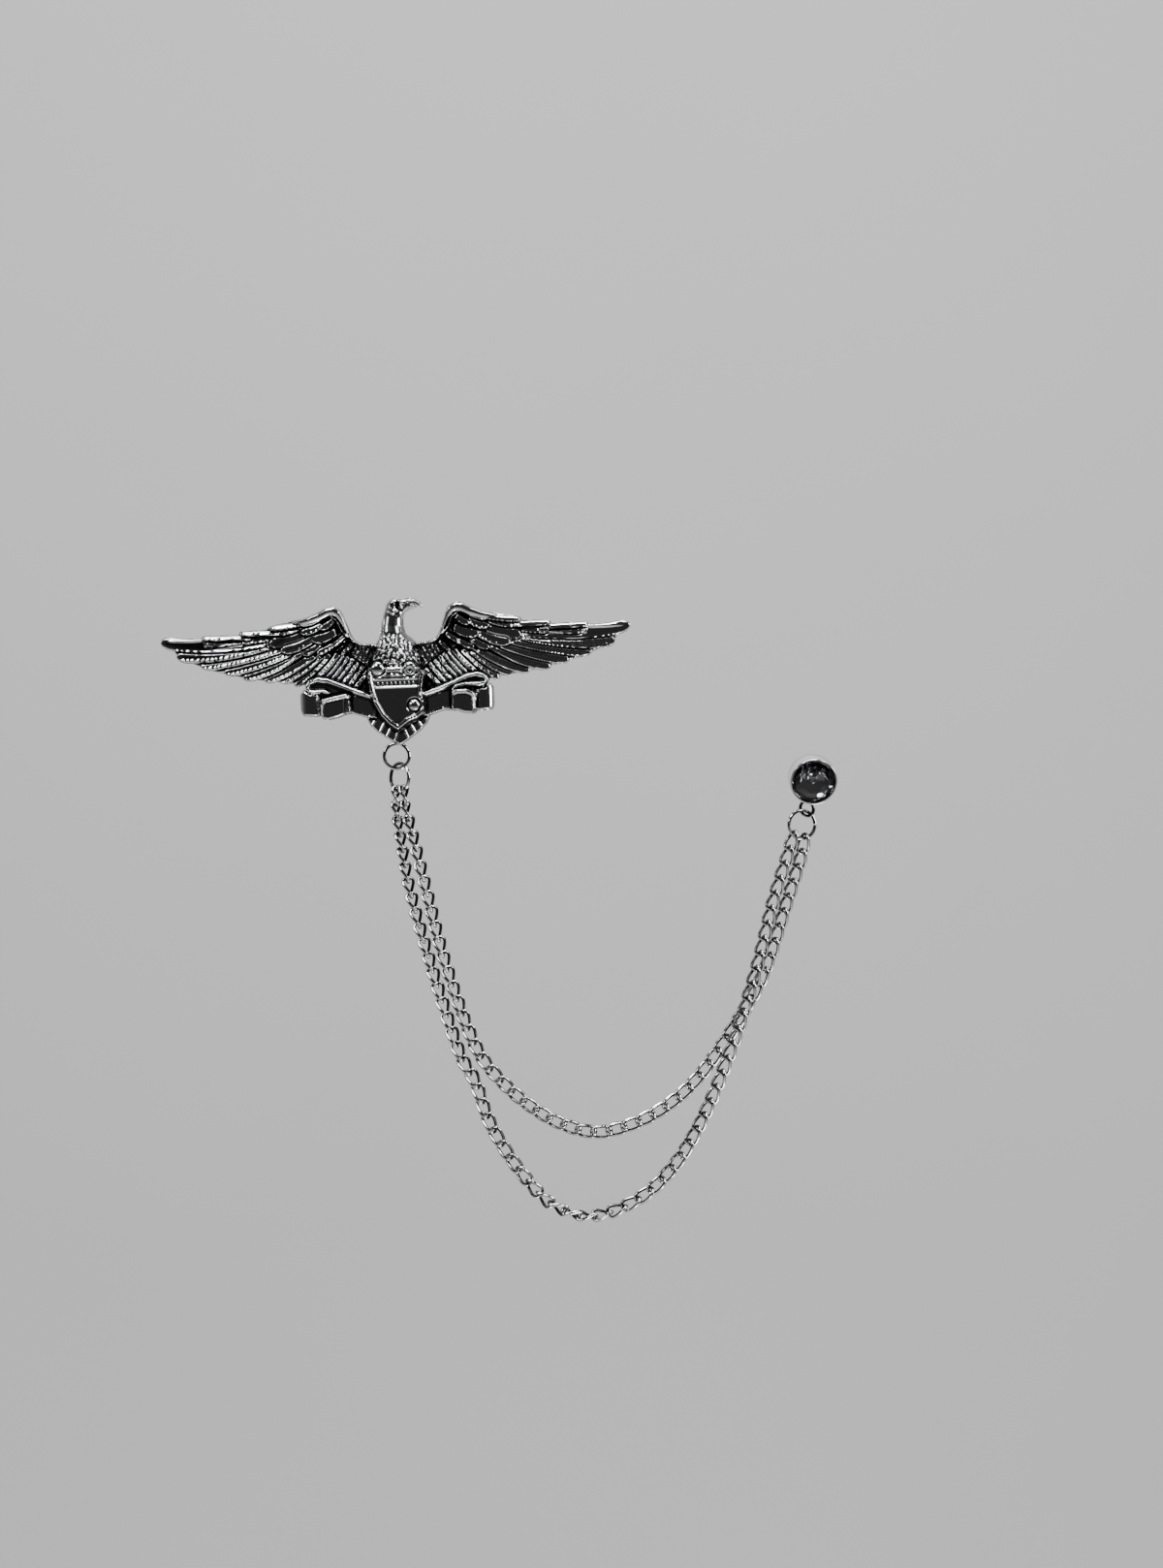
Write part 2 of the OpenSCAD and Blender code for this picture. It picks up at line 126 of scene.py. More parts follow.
class Graph:
    """Builds the nodes of one tree."""

    def __init__(self, tree: bpy.types.NodeTree) -> None:
        """Keeps the tree that the nodes go into."""
        self.tree = tree

    def add(self, kind: str, settings: dict[str, object], inputs: dict[str | int, object],
            output: str | int = 0) -> Sock:
        """Adds one node.

        Args:
            kind: the node's type.
            settings: its properties, set before its sockets; "stops" fills a colour ramp.
            inputs: a value or a Sock for each socket, by name or number.
            output: the output that is returned.

        Returns:
            The chosen output.
        """
        node = self.tree.nodes.new(kind)
        for name, value in settings.items():
            if name == "stops":
                self._fill_ramp(node.color_ramp, value)
            else:
                setattr(node, name, value)
        for key, value in inputs.items():
            if isinstance(value, Sock):
                self.tree.links.new(value.socket, node.inputs[key])
            else:
                node.inputs[key].default_value = value
        return Sock(self, node.outputs[output] if len(node.outputs) else None)

    @staticmethod
    def _fill_ramp(ramp: bpy.types.ColorRamp, stops: Sequence[Point]) -> None:
        """Sets the stops of a colour ramp.

        Args:
            ramp: the ramp.
            stops: the place and the grey of each stop.
        """
        while len(ramp.elements) < len(stops):
            ramp.elements.new(0.5)
        for element, (place, tone) in zip(ramp.elements, stops):
            element.position = place
            element.color = (tone, tone, tone, 1)

    def math(self, operation: str, *values: Sock | float) -> Sock:
        """One Math node."""
        return self.add("ShaderNodeMath", {"operation": operation}, dict(enumerate(values)))

    def vector(self, operation: str, *values: object, output: str | int = 0) -> Sock:
        """One Vector Math node."""
        return self.add("ShaderNodeVectorMath", {"operation": operation}, dict(enumerate(values)), output)

    def scaled(self, vector: Sock, factor: Sock | float) -> Sock:
        """A vector times a number."""
        return self.add("ShaderNodeVectorMath", {"operation": "SCALE"}, {"Vector": vector, "Scale": factor})

    def noise(self, spot: Sock, scale: float, detail: float) -> Sock:
        """One Noise Texture."""
        return self.add("ShaderNodeTexNoise", {}, {"Vector": spot, "Scale": scale, "Detail": detail})

    def blend(self, factor: Sock | float, low: object, high: object) -> Sock:
        """Mix of two colours."""
        return self.add("ShaderNodeMix", {"data_type": "RGBA"}, {0: factor, 6: low, 7: high}, 2)

    def smooth(self, value: Sock, low: float, high: float) -> Sock:
        """0 below low, 1 above high and a soft step between."""
        return self.add("ShaderNodeMapRange", {"interpolation_type": "SMOOTHSTEP"},
                        {"Value": value, "From Min": low, "From Max": high})


class ShapeTree(Graph):
    """A Geometry Nodes tree with named inputs that turns a seed shape into a plain mesh."""

    SOCKETS = {bool: "NodeSocketBool", int: "NodeSocketInt", float: "NodeSocketFloat",
               tuple: "NodeSocketVector"}

    def __init__(self, name: str, inputs: dict[str, object]) -> None:
        """Makes the tree and its inputs.

        Args:
            name: name of the tree.
            inputs: the default value of each input, by name.
        """
        super().__init__(bpy.data.node_groups.new(name, "GeometryNodeTree"))
        face = self.tree.interface
        face.new_socket("Geometry", in_out="INPUT", socket_type="NodeSocketGeometry")
        face.new_socket("Geometry", in_out="OUTPUT", socket_type="NodeSocketGeometry")
        for label, value in inputs.items():
            socket = face.new_socket(label, in_out="INPUT", socket_type=self.SOCKETS[type(value)])
            socket.default_value = value
        self.entry = self.tree.nodes.new("NodeGroupInput")

    def given(self, name: str) -> Sock:
        """One of the tree's inputs."""
        return Sock(self, self.entry.outputs[name])

    def close(self, geometry: Sock, finish: bpy.types.Material) -> None:
        """Ends the tree with real geometry that is shaded smooth and wears the finish.

        Args:
            geometry: the shape.
            finish: its material.
        """
        real = self.add("GeometryNodeRealizeInstances", {}, {"Geometry": geometry})
        soft = self.add("GeometryNodeSetShadeSmooth", {}, {"Geometry": real})
        worn = self.add("GeometryNodeSetMaterial", {}, {"Geometry": soft, "Material": finish})
        end = self.tree.nodes.new("NodeGroupOutput")
        self.tree.links.new(worn.socket, end.inputs["Geometry"])

    def darken_inside(self, wire: Sock) -> Sock:
        """Paints shade on the inner side of a bent wire: stores how far each point looks away from the middle
        of its loop.

        Args:
            wire: the wire, with the middle of its loop at the origin.

        Returns:
            The wire with its ridge values.
        """
        spot = self.vector("MULTIPLY", self.add("GeometryNodeInputPosition", {}, {}), (1.0, 1.0, 0.0))
        facing = self.add("GeometryNodeInputNormal", {}, {})
        away = self.vector("DOT_PRODUCT", self.vector("NORMALIZE", spot), facing, output="Value")
        return self.add("GeometryNodeStoreNamedAttribute", {"data_type": "FLOAT", "domain": "POINT"}, {
            "Geometry": wire, "Name": RIDGE_AND_SHADE, "Value": away * 0.5 + WIRE_RIDGE})

    def grow(self, name: str, seed: bpy.types.ID, values: dict[str, object]) -> bpy.types.Object:
        """Runs the tree on a seed.

        Args:
            name: name of the new object.
            seed: mesh or curve data that the tree starts from.
            values: the inputs that differ from their defaults.

        Returns:
            An object at the origin that holds the result as a plain mesh.
        """
        host = linked(bpy.data.objects.new(name + "_seed", seed))
        modifier = host.modifiers.new("shape", "NODES")
        modifier.node_group = self.tree
        for item in self.tree.interface.items_tree:
            if item.in_out == "INPUT" and item.name in values:
                modifier[item.identifier] = values[item.name]
        grown = host.evaluated_get(bpy.context.evaluated_depsgraph_get())
        mesh = bpy.data.meshes.new_from_object(grown)
        host.modifiers.remove(modifier)
        bpy.data.objects.remove(host)
        mesh.name = name
        return linked(bpy.data.objects.new(name, mesh))


def linked(obj: bpy.types.Object) -> bpy.types.Object:
    """Puts an object into the scene."""
    bpy.context.scene.collection.objects.link(obj)
    return obj


def seal(work: bmesh.types.BMesh, mesh: bpy.types.Mesh) -> bpy.types.Object:
    """Makes an object of a closed work mesh, its faces turned outwards.

    Args:
        work: the work mesh, which is freed.
        mesh: the mesh that it is written to.

    Returns:
        The object, with the mesh's name.
    """
    bmesh.ops.recalc_face_normals(work, faces=work.faces)
    work.to_mesh(mesh)
    work.free()
    return linked(bpy.data.objects.new(mesh.name, mesh))


def mesh_object(name: str, points: np.ndarray, faces: Sequence[Sequence[int]],
                fill: bool = False) -> bpy.types.Object:
    """Makes a closed mesh.

    Args:
        name: name of the object.
        points: its points, in metres.
        faces: the points of each face.
        fill: whether an open side is left that has to be filled.

    Returns:
        The object.
    """
    mesh = bpy.data.meshes.new(name)
    mesh.from_pydata(points.tolist(), [], faces)
    work = bmesh.new()
    work.from_mesh(mesh)
    if fill:
        rim = [edge for edge in work.edges if edge.is_boundary]
        bmesh.ops.triangle_fill(work, edges=rim, use_beauty=True)
    return seal(work, mesh)


def fuse(body: bpy.types.Object, *others: bpy.types.Object) -> bpy.types.Object:
    """Joins closed meshes into one solid.

    Args:
        body: the object that keeps the result.
        others: the objects that go into it and are removed.

    Returns:
        The body.
    """
    for other in others:
        modifier = body.modifiers.new("join", "BOOLEAN")
        modifier.operation, modifier.solver, modifier.object = "UNION", "MANIFOLD", other
        joined = body.evaluated_get(bpy.context.evaluated_depsgraph_get())
        mesh = bpy.data.meshes.new_from_object(joined)
        body.modifiers.remove(modifier)
        body.data = mesh
        bpy.data.objects.remove(other)
    return body


def dress(obj: bpy.types.Object, finish: bpy.types.Material, sharp: float | None = None) -> None:
    """Gives a mesh its finish and smooth shading.

    Args:
        obj: the object.
        finish: its material.
        sharp: angle in degrees from which an edge stays sharp.
    """
    obj.data.materials.clear()
    obj.data.materials.append(finish)
    obj.data.polygons.foreach_set("use_smooth", [True] * len(obj.data.polygons))
    if sharp is not None:
        obj.data.set_sharp_from_angle(angle=math.radians(sharp))


def mark(obj: bpy.types.Object, ridge: np.ndarray) -> None:
    """Stores the ridge value of every point of a mesh.

    Args:
        obj: the object.
        ridge: one value for each point.
    """
    old = obj.data.attributes.get(RIDGE_AND_SHADE)
    if old is not None:
        obj.data.attributes.remove(old)
    stored = obj.data.attributes.new(RIDGE_AND_SHADE, "FLOAT", "POINT")
    stored.data.foreach_set("value", ridge.astype(np.float32))


def read_rows(data: bpy.types.bpy_prop_collection, name: str) -> np.ndarray:
    """Reads a vector of every item of a mesh.

    Args:
        data: the items.
        name: the vector's name.

    Returns:
        One row for each item.
    """
    values = np.zeros(len(data) * 3)
    data.foreach_get(name, values)
    return values.reshape(-1, 3)


def points_of(obj: bpy.types.Object) -> np.ndarray:
    """Points of a mesh, in metres."""
    return read_rows(obj.data.vertices, "co")


def front_share(obj: bpy.types.Object, start: float) -> np.ndarray:
    """How far every point of a mesh faces the front: 0 up to a start, and 1 a quarter further on."""
    return step_up(-read_rows(obj.data.vertex_normals, "vector")[:, 1], start, 0.25)


def paint_flank_shade(obj: bpy.types.Object, least: float = 0.14, rise: float = 0.6) -> None:
    """Paints shade on a wire: lowers the ridge values where it turns away from the front.

    Args:
        obj: the wire, with its ridge values.
        least: highest value on its flanks.
        rise: how much higher it may be at the front.
    """
    ridge = np.zeros(len(obj.data.vertices), dtype=np.float32)
    obj.data.attributes[RIDGE_AND_SHADE].data.foreach_get("value", ridge)
    mark(obj, np.minimum(ridge, least + rise * front_share(obj, 0.5)))


def place(obj: bpy.types.Object, node: str, slot: str) -> None:
    """Hands a finished piece to the frame.

    Args:
        obj: the piece.
        node: the CAD node that it stands for.
        slot: its material slot, not used.
    """
    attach(obj, BODY)
    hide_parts(node)
    LOG.info("%s: %d faces", obj.name, len(obj.data.polygons))


def start_tree(tree: bpy.types.NodeTree, coordinates: str = "Object") -> tuple[Graph, Sock]:
    """Empties a shader tree.

    Args:
        tree: the tree.
        coordinates: which texture coordinates it reads.

    Returns:
        The graph that fills the tree, and the coordinates.
    """
    tree.nodes.clear()
    graph = Graph(tree)
    return graph, graph.add("ShaderNodeTexCoord", {}, {}, coordinates)


def grey(value: float, blue: float = 1.0) -> Row:
    """A grey colour, with its blue made stronger or weaker."""
    return value, value, value * blue, 1


@dataclass(frozen=True)
class Silver:
    """Polished white metal, dark where the ridge value is low: in hollows, and where painted shade is marked.
    """

    name: str
    bright: float = 0.80
    dark: float = 0.80
    roughness: float = 0.14
    wear: float = 0.06
    grain: float = 0.02
    cloud_scale: float = 700.0
    fine_scale: float = 5200.0
    darken_edge: Point = (0.14, 0.44)
    darken_stir: float = 0.15
    darken_roughness: float = 0.16

    def material(self) -> bpy.types.Material:
        """Builds the material.

        Returns:
            The material.
        """
        made = bpy.data.materials.new(self.name)
        made.use_nodes = True
        graph, spot = start_tree(made.node_tree)
        cloud = graph.noise(spot, self.cloud_scale, 3.0)
        fine = graph.noise(spot, self.fine_scale, 2.0)
        rough = self.roughness + (cloud - 0.5) * self.wear + (fine - 0.5) * self.wear
        tone: Sock | Row = grey(self.bright, 1.01)
        if self.dark < self.bright:
            # Dark metal where the ridge value is low: hollows, and painted shade on flanks and on inner sides
            # of wires
            ridge = graph.add("ShaderNodeAttribute", {"attribute_name": RIDGE_AND_SHADE}, {}, "Fac")
            bright_share = graph.smooth(ridge + (cloud - 0.5) * self.darken_stir, *self.darken_edge)
            tone = graph.blend(bright_share, grey(self.dark, 1.05), tone)
            rough = rough + (1 - bright_share) * self.darken_roughness
        bump = graph.add("ShaderNodeBump", {}, {"Strength": self.grain, "Distance": 0.0001, "Height": fine})
        shade = graph.add("ShaderNodeBsdfPrincipled", {}, {
            "Base Color": tone, "Metallic": 1.0, "Roughness": rough, "Normal": bump})
        graph.add("ShaderNodeOutputMaterial", {}, {"Surface": shade})
        return made


@dataclass(frozen=True)
class CutGlass:
    """Smoky cut glass with clean facets."""

    name: str
    tint: float = 0.82
    ior: float = 1.62
    veil_scale: float = 420.0
    roughness: float = 0.02

    def material(self) -> bpy.types.Material:
        """Builds the material.

        Returns:
            The material.
        """
        made = bpy.data.materials.new(self.name)
        made.use_nodes = True
        graph, spot = start_tree(made.node_tree)
        veil = graph.noise(spot, self.veil_scale, 2.0)
        dim = (self.tint * 0.8, self.tint * 0.82, self.tint * 0.86, 1)
        shade = graph.add("ShaderNodeBsdfPrincipled", {}, {
            "Base Color": graph.blend(veil, dim, grey(self.tint, 1.02)), "IOR": self.ior,
            "Roughness": self.roughness + veil * self.roughness, "Transmission Weight": 1.0})
        graph.add("ShaderNodeOutputMaterial", {}, {"Surface": shade})
        return made


@dataclass(frozen=True)
class PaleFloor:
    """Plain matt surface under and behind the pin."""

    name: str
    tone: float = 0.74
    spread: float = 0.03
    cloud_scale: float = 6.0

    def material(self) -> bpy.types.Material:
        """Builds the material.

        Returns:
            The material.
        """
        made = bpy.data.materials.new(self.name)
        made.use_nodes = True
        graph, spot = start_tree(made.node_tree)
        cloud = graph.noise(spot, self.cloud_scale, 4.0)
        tone = graph.blend(cloud, grey(self.tone * (1 - self.spread)), grey(self.tone * (1 + self.spread)))
        shade = graph.add("ShaderNodeBsdfPrincipled", {}, {"Base Color": tone, "Roughness": 0.8})
        graph.add("ShaderNodeOutputMaterial", {}, {"Surface": shade})
        return made


class Outline:
    """A closed outline with straight sides."""

    def __init__(self, points: Sequence[Point]) -> None:
        """Takes the corners in order."""
        self.corners = np.array(points, float)

    def box(self) -> Box:
        """Lowest and highest x and z."""
        low, high = self.corners.min(0), self.corners.max(0)
        return low[0], low[1], high[0], high[1]

    def edge(self, x: np.ndarray, z: np.ndarray) -> np.ndarray:
        """Signed distance to the outline.

        Args:
            x: places across.
            z: places upwards.

        Returns:
            The distance inside it, negative outside.
        """
        near = np.full(x.shape, 1e9)
        inside = np.zeros(x.shape, bool)
        for (ax, az), (bx, bz) in zip(self.corners, np.roll(self.corners, -1, 0)):
            ex, ez = bx - ax, bz - az
            along = np.clip(((x - ax) * ex + (z - az) * ez) / max(ex * ex + ez * ez, 1e-12), 0, 1)
            near = np.minimum(near, np.hypot(x - ax - along * ex, z - az - along * ez))
            if az != bz:
                crossed = (az > z) != (bz > z)
                inside ^= crossed & (x < ax + (z - az) * ex / (bz - az))
        return np.where(inside, near, -near)


@dataclass(frozen=True)
class Blade:
    """A feather's outline along a bent spine, from its root to a rounded tip."""

    root: Point
    tip: Point
    bow: float
    width: float
    round_share: float = 0.9
    root_share: float = 0.85
    full_at: float = 0.6

    def _way(self) -> tuple[float, float, float]:
        """Length and heading of the spine's chord."""
        dx, dz = self.tip[0] - self.root[0], self.tip[1] - self.root[1]
        length = math.hypot(dx, dz)
        return length, dx / length, dz / length

    def length(self) -> float:
        """Length of the chord."""
        return self._way()[0]

    def along(self, x: np.ndarray, z: np.ndarray) -> tuple[np.ndarray, np.ndarray]:
        """Finds points along the feather.

        Args:
            x: places across.
            z: places upwards.

        Returns:
            The share of the way to the tip, and the offset from the spine.
        """
        length, ux, uz = self._way()
        dx, dz = x - self.root[0], z - self.root[1]
        s = (dx * ux + dz * uz) / length
        return s, dz * ux - dx * uz - 4 * self.bow * s * (1 - s)

    def half(self, s: np.ndarray) -> np.ndarray:
        """Half of the feather's width.

        Args:
            s: shares of the way to the tip.

        Returns:
            The half width there.
        """
        start = 1 - min(0.9, self.round_share * self.width / self.length())
        body = self.root_share + (1 - self.root_share) * np.clip(s / self.full_at, 0, 1)
        end = np.clip((s - start) / (1 - start), 0, 1)
        return self.width / 2 * body * np.sqrt(np.maximum(1 - end**2, 0))

    def box(self) -> Box:
        """Lowest and highest x and z."""
        spread = self.width / 2 + abs(self.bow)
        xs, zs = (self.root[0], self.tip[0]), (self.root[1], self.tip[1])
        return min(xs) - spread, min(zs) - spread, max(xs) + spread, max(zs) + spread

    def edge(self, x: np.ndarray, z: np.ndarray) -> np.ndarray:
        """Distance inside the outline, negative outside.

        Args:
            x: places across.
            z: places upwards.

        Returns:
            The distance.
        """
        s, t = self.along(x, z)
        length = self.length()
        beyond = np.maximum(s - 1, 0) * length
        return np.minimum(self.half(s) - np.abs(t) - beyond, s * length)


class Limb:
    """Round lumps run together, such as a neck or a rolled hem."""

    # How far the height falls beside the lumps
    OUT = 9

    def __init__(self, knots: Sequence[Row], steps: int = 8) -> None:
        """Fills in the lumps between knots.

        Args:
            knots: x, z, height of the centre and radius of each knot.
            steps: number of lumps from one knot to the next.
        """
        knot = np.array(knots, float)
        places = np.linspace(0, len(knot) - 1, (len(knot) - 1) * steps + 1)
        self.beads = np.stack([np.interp(places, range(len(knot)), knot[:, k]) for k in range(4)], 1)

    def box(self) -> Box:
        """Lowest and highest x and z."""
        x, z, _, r = self.beads.T
        return (x - r).min(), (z - r).min(), (x + r).max(), (z + r).max()

    def edge(self, x: np.ndarray, z: np.ndarray) -> np.ndarray:
        """Distance inside the outline, negative outside."""
        return np.max([r - np.hypot(x - bx, z - bz) for bx, bz, _, r in self.beads], 0)

    def top(self, x: np.ndarray, z: np.ndarray, edge: np.ndarray) -> np.ndarray:
        """Height of the lumps' upper side.

        Args:
            x: places across.
            z: places upwards.
            edge: distance inside the outline, not used.

        Returns:
            The height, far below the casting beside the lumps.
        """
        return np.max([high + np.sqrt(np.maximum(r * r - (x - bx)**2 - (z - bz)**2, 0)) - self.OUT
                       * (np.hypot(x - bx, z - bz) > r) for bx, bz, high, r in self.beads], 0)


def hash_noise(x: np.ndarray, z: np.ndarray, size: float, seed: int) -> np.ndarray:
    """Smooth noise over the plane.

    Args:
        x: places across.
        z: places upwards.
        size: width of a spot.
        seed: number that the spots are drawn from.

    Returns:
        Values between -1 and 1.
    """
    cells = 64
    table = np.random.default_rng(seed).uniform(-1, 1, (cells, cells))
    u, v = x / size, z / size
    i, j = np.floor(u).astype(int), np.floor(v).astype(int)
    a, b = u - i, v - j
    a, b = a * a * (3 - 2 * a), b * b * (3 - 2 * b)
    low, high = (table[i % cells, k % cells] * (1 - a) + table[(i + 1) % cells, k % cells] * a
                 for k in (j, j + 1))
    return low * (1 - b) + high * b


def bead(distance: np.ndarray, width: float) -> np.ndarray:
    """Round ridge, 1 on its line and fading over a width."""
    return np.exp(-(distance / width)**2)


def step_up(value: np.ndarray, start: float, length: float) -> np.ndarray:
    """0 up to a start, and 1 a length further on."""
    return np.clip((value - start) / length, 0, 1)


def rim_line(edge: np.ndarray, high: float, within: float = 0.1, width: float = 0.08) -> np.ndarray:
    """Fine raised line along an outline."""
    return high * bead(edge - within, width)


def level(height: float) -> Heights:
    """A flat face.

    Args:
        height: its height.

    Returns:
        The function of its height.
    """
    def flat(x: np.ndarray, z: np.ndarray, edge: np.ndarray) -> np.ndarray:
        """The same height everywhere."""
        return np.full(x.shape, height)

    return flat


@dataclass
class Relief:
    """The front of a casting as heights over a fine grid, cut out along the edge of its shapes."""

    low: Point
    high: Point
    step: float
    edge_blend: float = 0.14
    groove_in: float = 0.08
    groove_w: float = 0.14
    groove_reach: float = 0.45
    blur: float = 0.05
    around: float = 0.24
    ridge_span: float = 0.2
    rim_fall: float = 0.3
    rim_floor: float = 0.6
    least_h: float = 0.35
    skin: float = 0.2

    def __post_init__(self) -> None:
        """Makes the empty grid."""
        across = np.arange(self.low[0], self.high[0], self.step)
        self.x, self.z = np.meshgrid(across, np.arange(self.low[1], self.high[1], self.step))
        self.height = np.zeros_like(self.x)
        self.inside = np.full_like(self.x, -1e3)

    def _window(self, box: Box, side: int, margin: float) -> tuple[slice, slice]:
        """Finds the part of the grid that a shape can reach.

        Args:
            box: lowest and highest x and z of the shape.
            side: side that it is on.
            margin: room round it.

        Returns:
            The rows and the columns.
        """
        lo, hi = (box[0], box[2]) if side > 0 else (-box[2], -box[0])
        spans = ((box[1], box[3], self.low[1]), (lo, hi, self.low[0]))
        return tuple(slice(max(int((first - margin - base) / self.step), 0),
                           max(int((last + margin - base) / self.step) + 2, 0))
                     for first, last, base in spans)

    def _cell(self, x: np.ndarray, z: np.ndarray, whole: Callable[[np.ndarray], np.ndarray]
              ) -> tuple[np.ndarray, np.ndarray]:
        """Finds the places of the grid that points are at.

        Args:
            x: places across.
            z: places upwards.
            whole: how a place between two is made whole.

        Returns:
            The rows and the columns.
        """
        spans = ((z, self.low[1], self.x.shape[0]), (x, self.low[0], self.x.shape[1]))
        return tuple(np.clip(whole((place - base) / self.step).astype(int), 0, count - 1)
                     for place, base, count in spans)

    def lay(self, shape: Outline | Blade | Limb, height: Heights, side: int = 1, groove: float = 0,
            cuts: bool = True, draft: float = 0) -> None:
        """Lays a shape over what is there.

        Args:
            shape: the outline.
            height: its height at points, from x, z and the distance inside it.
            side: side of the eagle, where the left one is a mirror image.
            groove: depth of the line pressed round it.
            cuts: whether it belongs to the casting's outline.
            draft: width of the sloping wall outside it.
        """
        rows, cols = self._window(shape.box(), side, 0.5 + draft)
        x, z = self.x[rows, cols] * side, self.z[rows, cols]
        edge = shape.edge(x, z)
        old = self.height[rows, cols]
        if groove:
            line = bead(np.minimum(edge + self.groove_in, 0), self.groove_w)
            old = old - groove * line * (edge > -self.groove_reach)
        reach = max(draft, self.edge_blend)
        weight = np.clip((edge + draft) / reach + (0 if draft else 0.5), 0, 1)
        merged = old + (height(x, z, edge) - old) * weight * weight * (3 - 2 * weight)
        self.height[rows, cols] = np.maximum(old, merged) if draft else merged
        if cuts:
            self.inside[rows, cols] = np.maximum(self.inside[rows, cols], edge)

    def swell(self, shape: Outline | Limb, height: Heights, side: int = 1) -> None:
        """Raises the casting to a rounded shape where that stands higher.

        Args:
            shape: the outline.
            height: its height at points, from x, z and the distance inside it.
            side: side of the eagle, where the left one is a mirror image.
        """
        rows, cols = self._window(shape.box(), side, 0.5)
        x, z = self.x[rows, cols] * side, self.z[rows, cols]
        edge = shape.edge(x, z)
        top = np.where(edge > 0, height(x, z, edge), 0)
        self.height[rows, cols] = np.maximum(self.height[rows, cols], top)
        self.inside[rows, cols] = np.maximum(self.inside[rows, cols], edge)

    def emboss(self, box: Box, change: Change, side: int = 1) -> None:
        """Adds to the height within a box.

        Args:
            box: lowest and highest x and z.
            change: what is added at x and z.
            side: side of the eagle, where the left one is a mirror image.
        """
        rows, cols = self._window(box, side, 0)
        self.height[rows, cols] += change(self.x[rows, cols] * side, self.z[rows, cols])

    def _soft(self, grid: np.ndarray, width: float) -> np.ndarray:
        """Blurs a grid.

        Args:
            grid: its values.
            width: how far they spread.

        Returns:
            The blurred values.
        """
        cells = width / self.step
        reach = int(math.ceil(cells * 2.5))
        weights = np.exp(-0.5 * (np.arange(-reach, reach + 1) / cells)**2)
        weights /= weights.sum()
        for axis in (0, 1):
            pad = [(reach, reach) if k == axis else (0, 0) for k in (0, 1)]
            wide = np.pad(grid, pad, mode="edge")
            size = grid.shape[axis]
            grid = sum(w * np.take(wide, range(k, k + size), axis) for k, w in enumerate(weights))
        return grid

    def _soft_height(self, metal: np.ndarray, width: float) -> np.ndarray:
        """Height blurred over the metal only."""
        share = np.maximum(self._soft(metal.astype(float), width), 0.05)
        return self._soft(self.height * metal, width) / share

    def settle(self) -> None:
        """Softens the casting, rounds its outer edge and works out where its ridges are."""
        metal = self.inside > -self.skin
        self.height = self._soft_height(metal, self.blur)
        fall = np.clip(self.inside / self.rim_fall, 0, 1)
        edge = self.rim_floor + (1 - self.rim_floor) * np.sqrt(1 - (1 - fall)**2)
        self.height = np.maximum(self.height * edge, self.least_h)
        ridge = np.clip(0.5 + (self.height - self._soft_height(metal, self.around)) / self.ridge_span, 0, 1)
        self.ridge = np.maximum(ridge, np.clip(SHINY_RIDGE - self.inside * 1.6, 0, FLAT_RIDGE))

    def ridge_at(self, x: np.ndarray, z: np.ndarray) -> np.ndarray:
        """Ridge value at points, from the nearest place of the grid."""
        return self.ridge[self._cell(x, z, np.round)]

    def free_at(self, x: np.ndarray, z: np.ndarray) -> np.ndarray:
        """Where points lie off the casting, as on a ring that hangs below it."""
        return (self.inside[self._cell(x, z, np.trunc)] < -self.skin) | (z < self.low[1])

    def solid(self, name: str, turn: float) -> bpy.types.Object:
        """Closed mesh with a flat back, turned in its plane.

        Args:
            name: name of the object.
            turn: turn about the way out of the casting, in degrees.

        Returns:
            The new object.
        """
        points, faces, outline = self._front()
        count = len(points)
        back = sorted({v for edge in outline for v in edge})
        twin = {v: count + k for k, v in enumerate(back)}
        ring = points[back].copy()
        ring[:, 1] = 0
        points = np.concatenate([points, ring])
        faces += [[q, p, twin[p], twin[q]] for p, q in outline]
        c, s = math.cos(math.radians(turn)), math.sin(math.radians(turn))
        turned = np.stack([points[:, 0] * c - points[:, 2] * s, points[:, 1],
                           points[:, 0] * s + points[:, 2] * c], 1) * MM
        return mesh_object(name, turned, faces, fill=True)

    def _front(self) -> tuple[np.ndarray, list[list[int]], list[tuple[int, int]]]:
        """Cuts out the front by marching over the grid's squares.

        Returns:
            Its points, its faces, and the edges of its outline.
        """
        value, high = self.inside, self.height
        solid = value > 0
        ids = np.full(solid.shape, -1)
        ids[solid] = np.arange(solid.sum())
        points = [np.stack([self.x[solid], -high[solid], self.z[solid]], 1)]
        count = len(points[0])
        cuts = []
        for dr, dc in ((0, 1), (1, 0)):
            rows, cols = solid.shape[0] - dr, solid.shape[1] - dc
            a, b = (slice(0, rows), slice(0, cols)), (slice(dr, dr + rows), slice(dc, dc + cols))
            split = solid[a] != solid[b]
            share = np.clip(value[a][split] / (value[a][split] - value[b][split]), 0.1, 0.9)
            metal = np.where(solid[a][split], high[a][split], high[b][split])
            points.append(np.stack([self.x[a][split] + share * self.step * dc, -metal,
                                    self.z[a][split] + share * self.step * dr], 1))
            number = np.full(split.shape, -1)
            number[split] = count + np.arange(split.sum())
            count += int(split.sum())
            cuts.append(number)
        across, up = cuts
        corner = [ids[:-1, :-1], ids[:-1, 1:], ids[1:, 1:], ids[1:, :-1]]
        between = [across[:-1, :], up[:, 1:], across[1:, :], up[:, :-1]]
        code = sum((c >= 0).astype(int) << k for k, c in enumerate(corner))
        faces: list[list[int]] = []
        outline: list[tuple[int, int]] = []
        for case in range(1, 16):
            here = code == case
            if not here.any():
                continue
            order, cut_after = [], []
            for k in range(4):
                if case >> k & 1:
                    order.append(corner[k][here])
                    cut_after.append(False)
                if (case >> k & 1) != (case >> ((k + 1) % 4) & 1):
                    order.append(between[k][here])
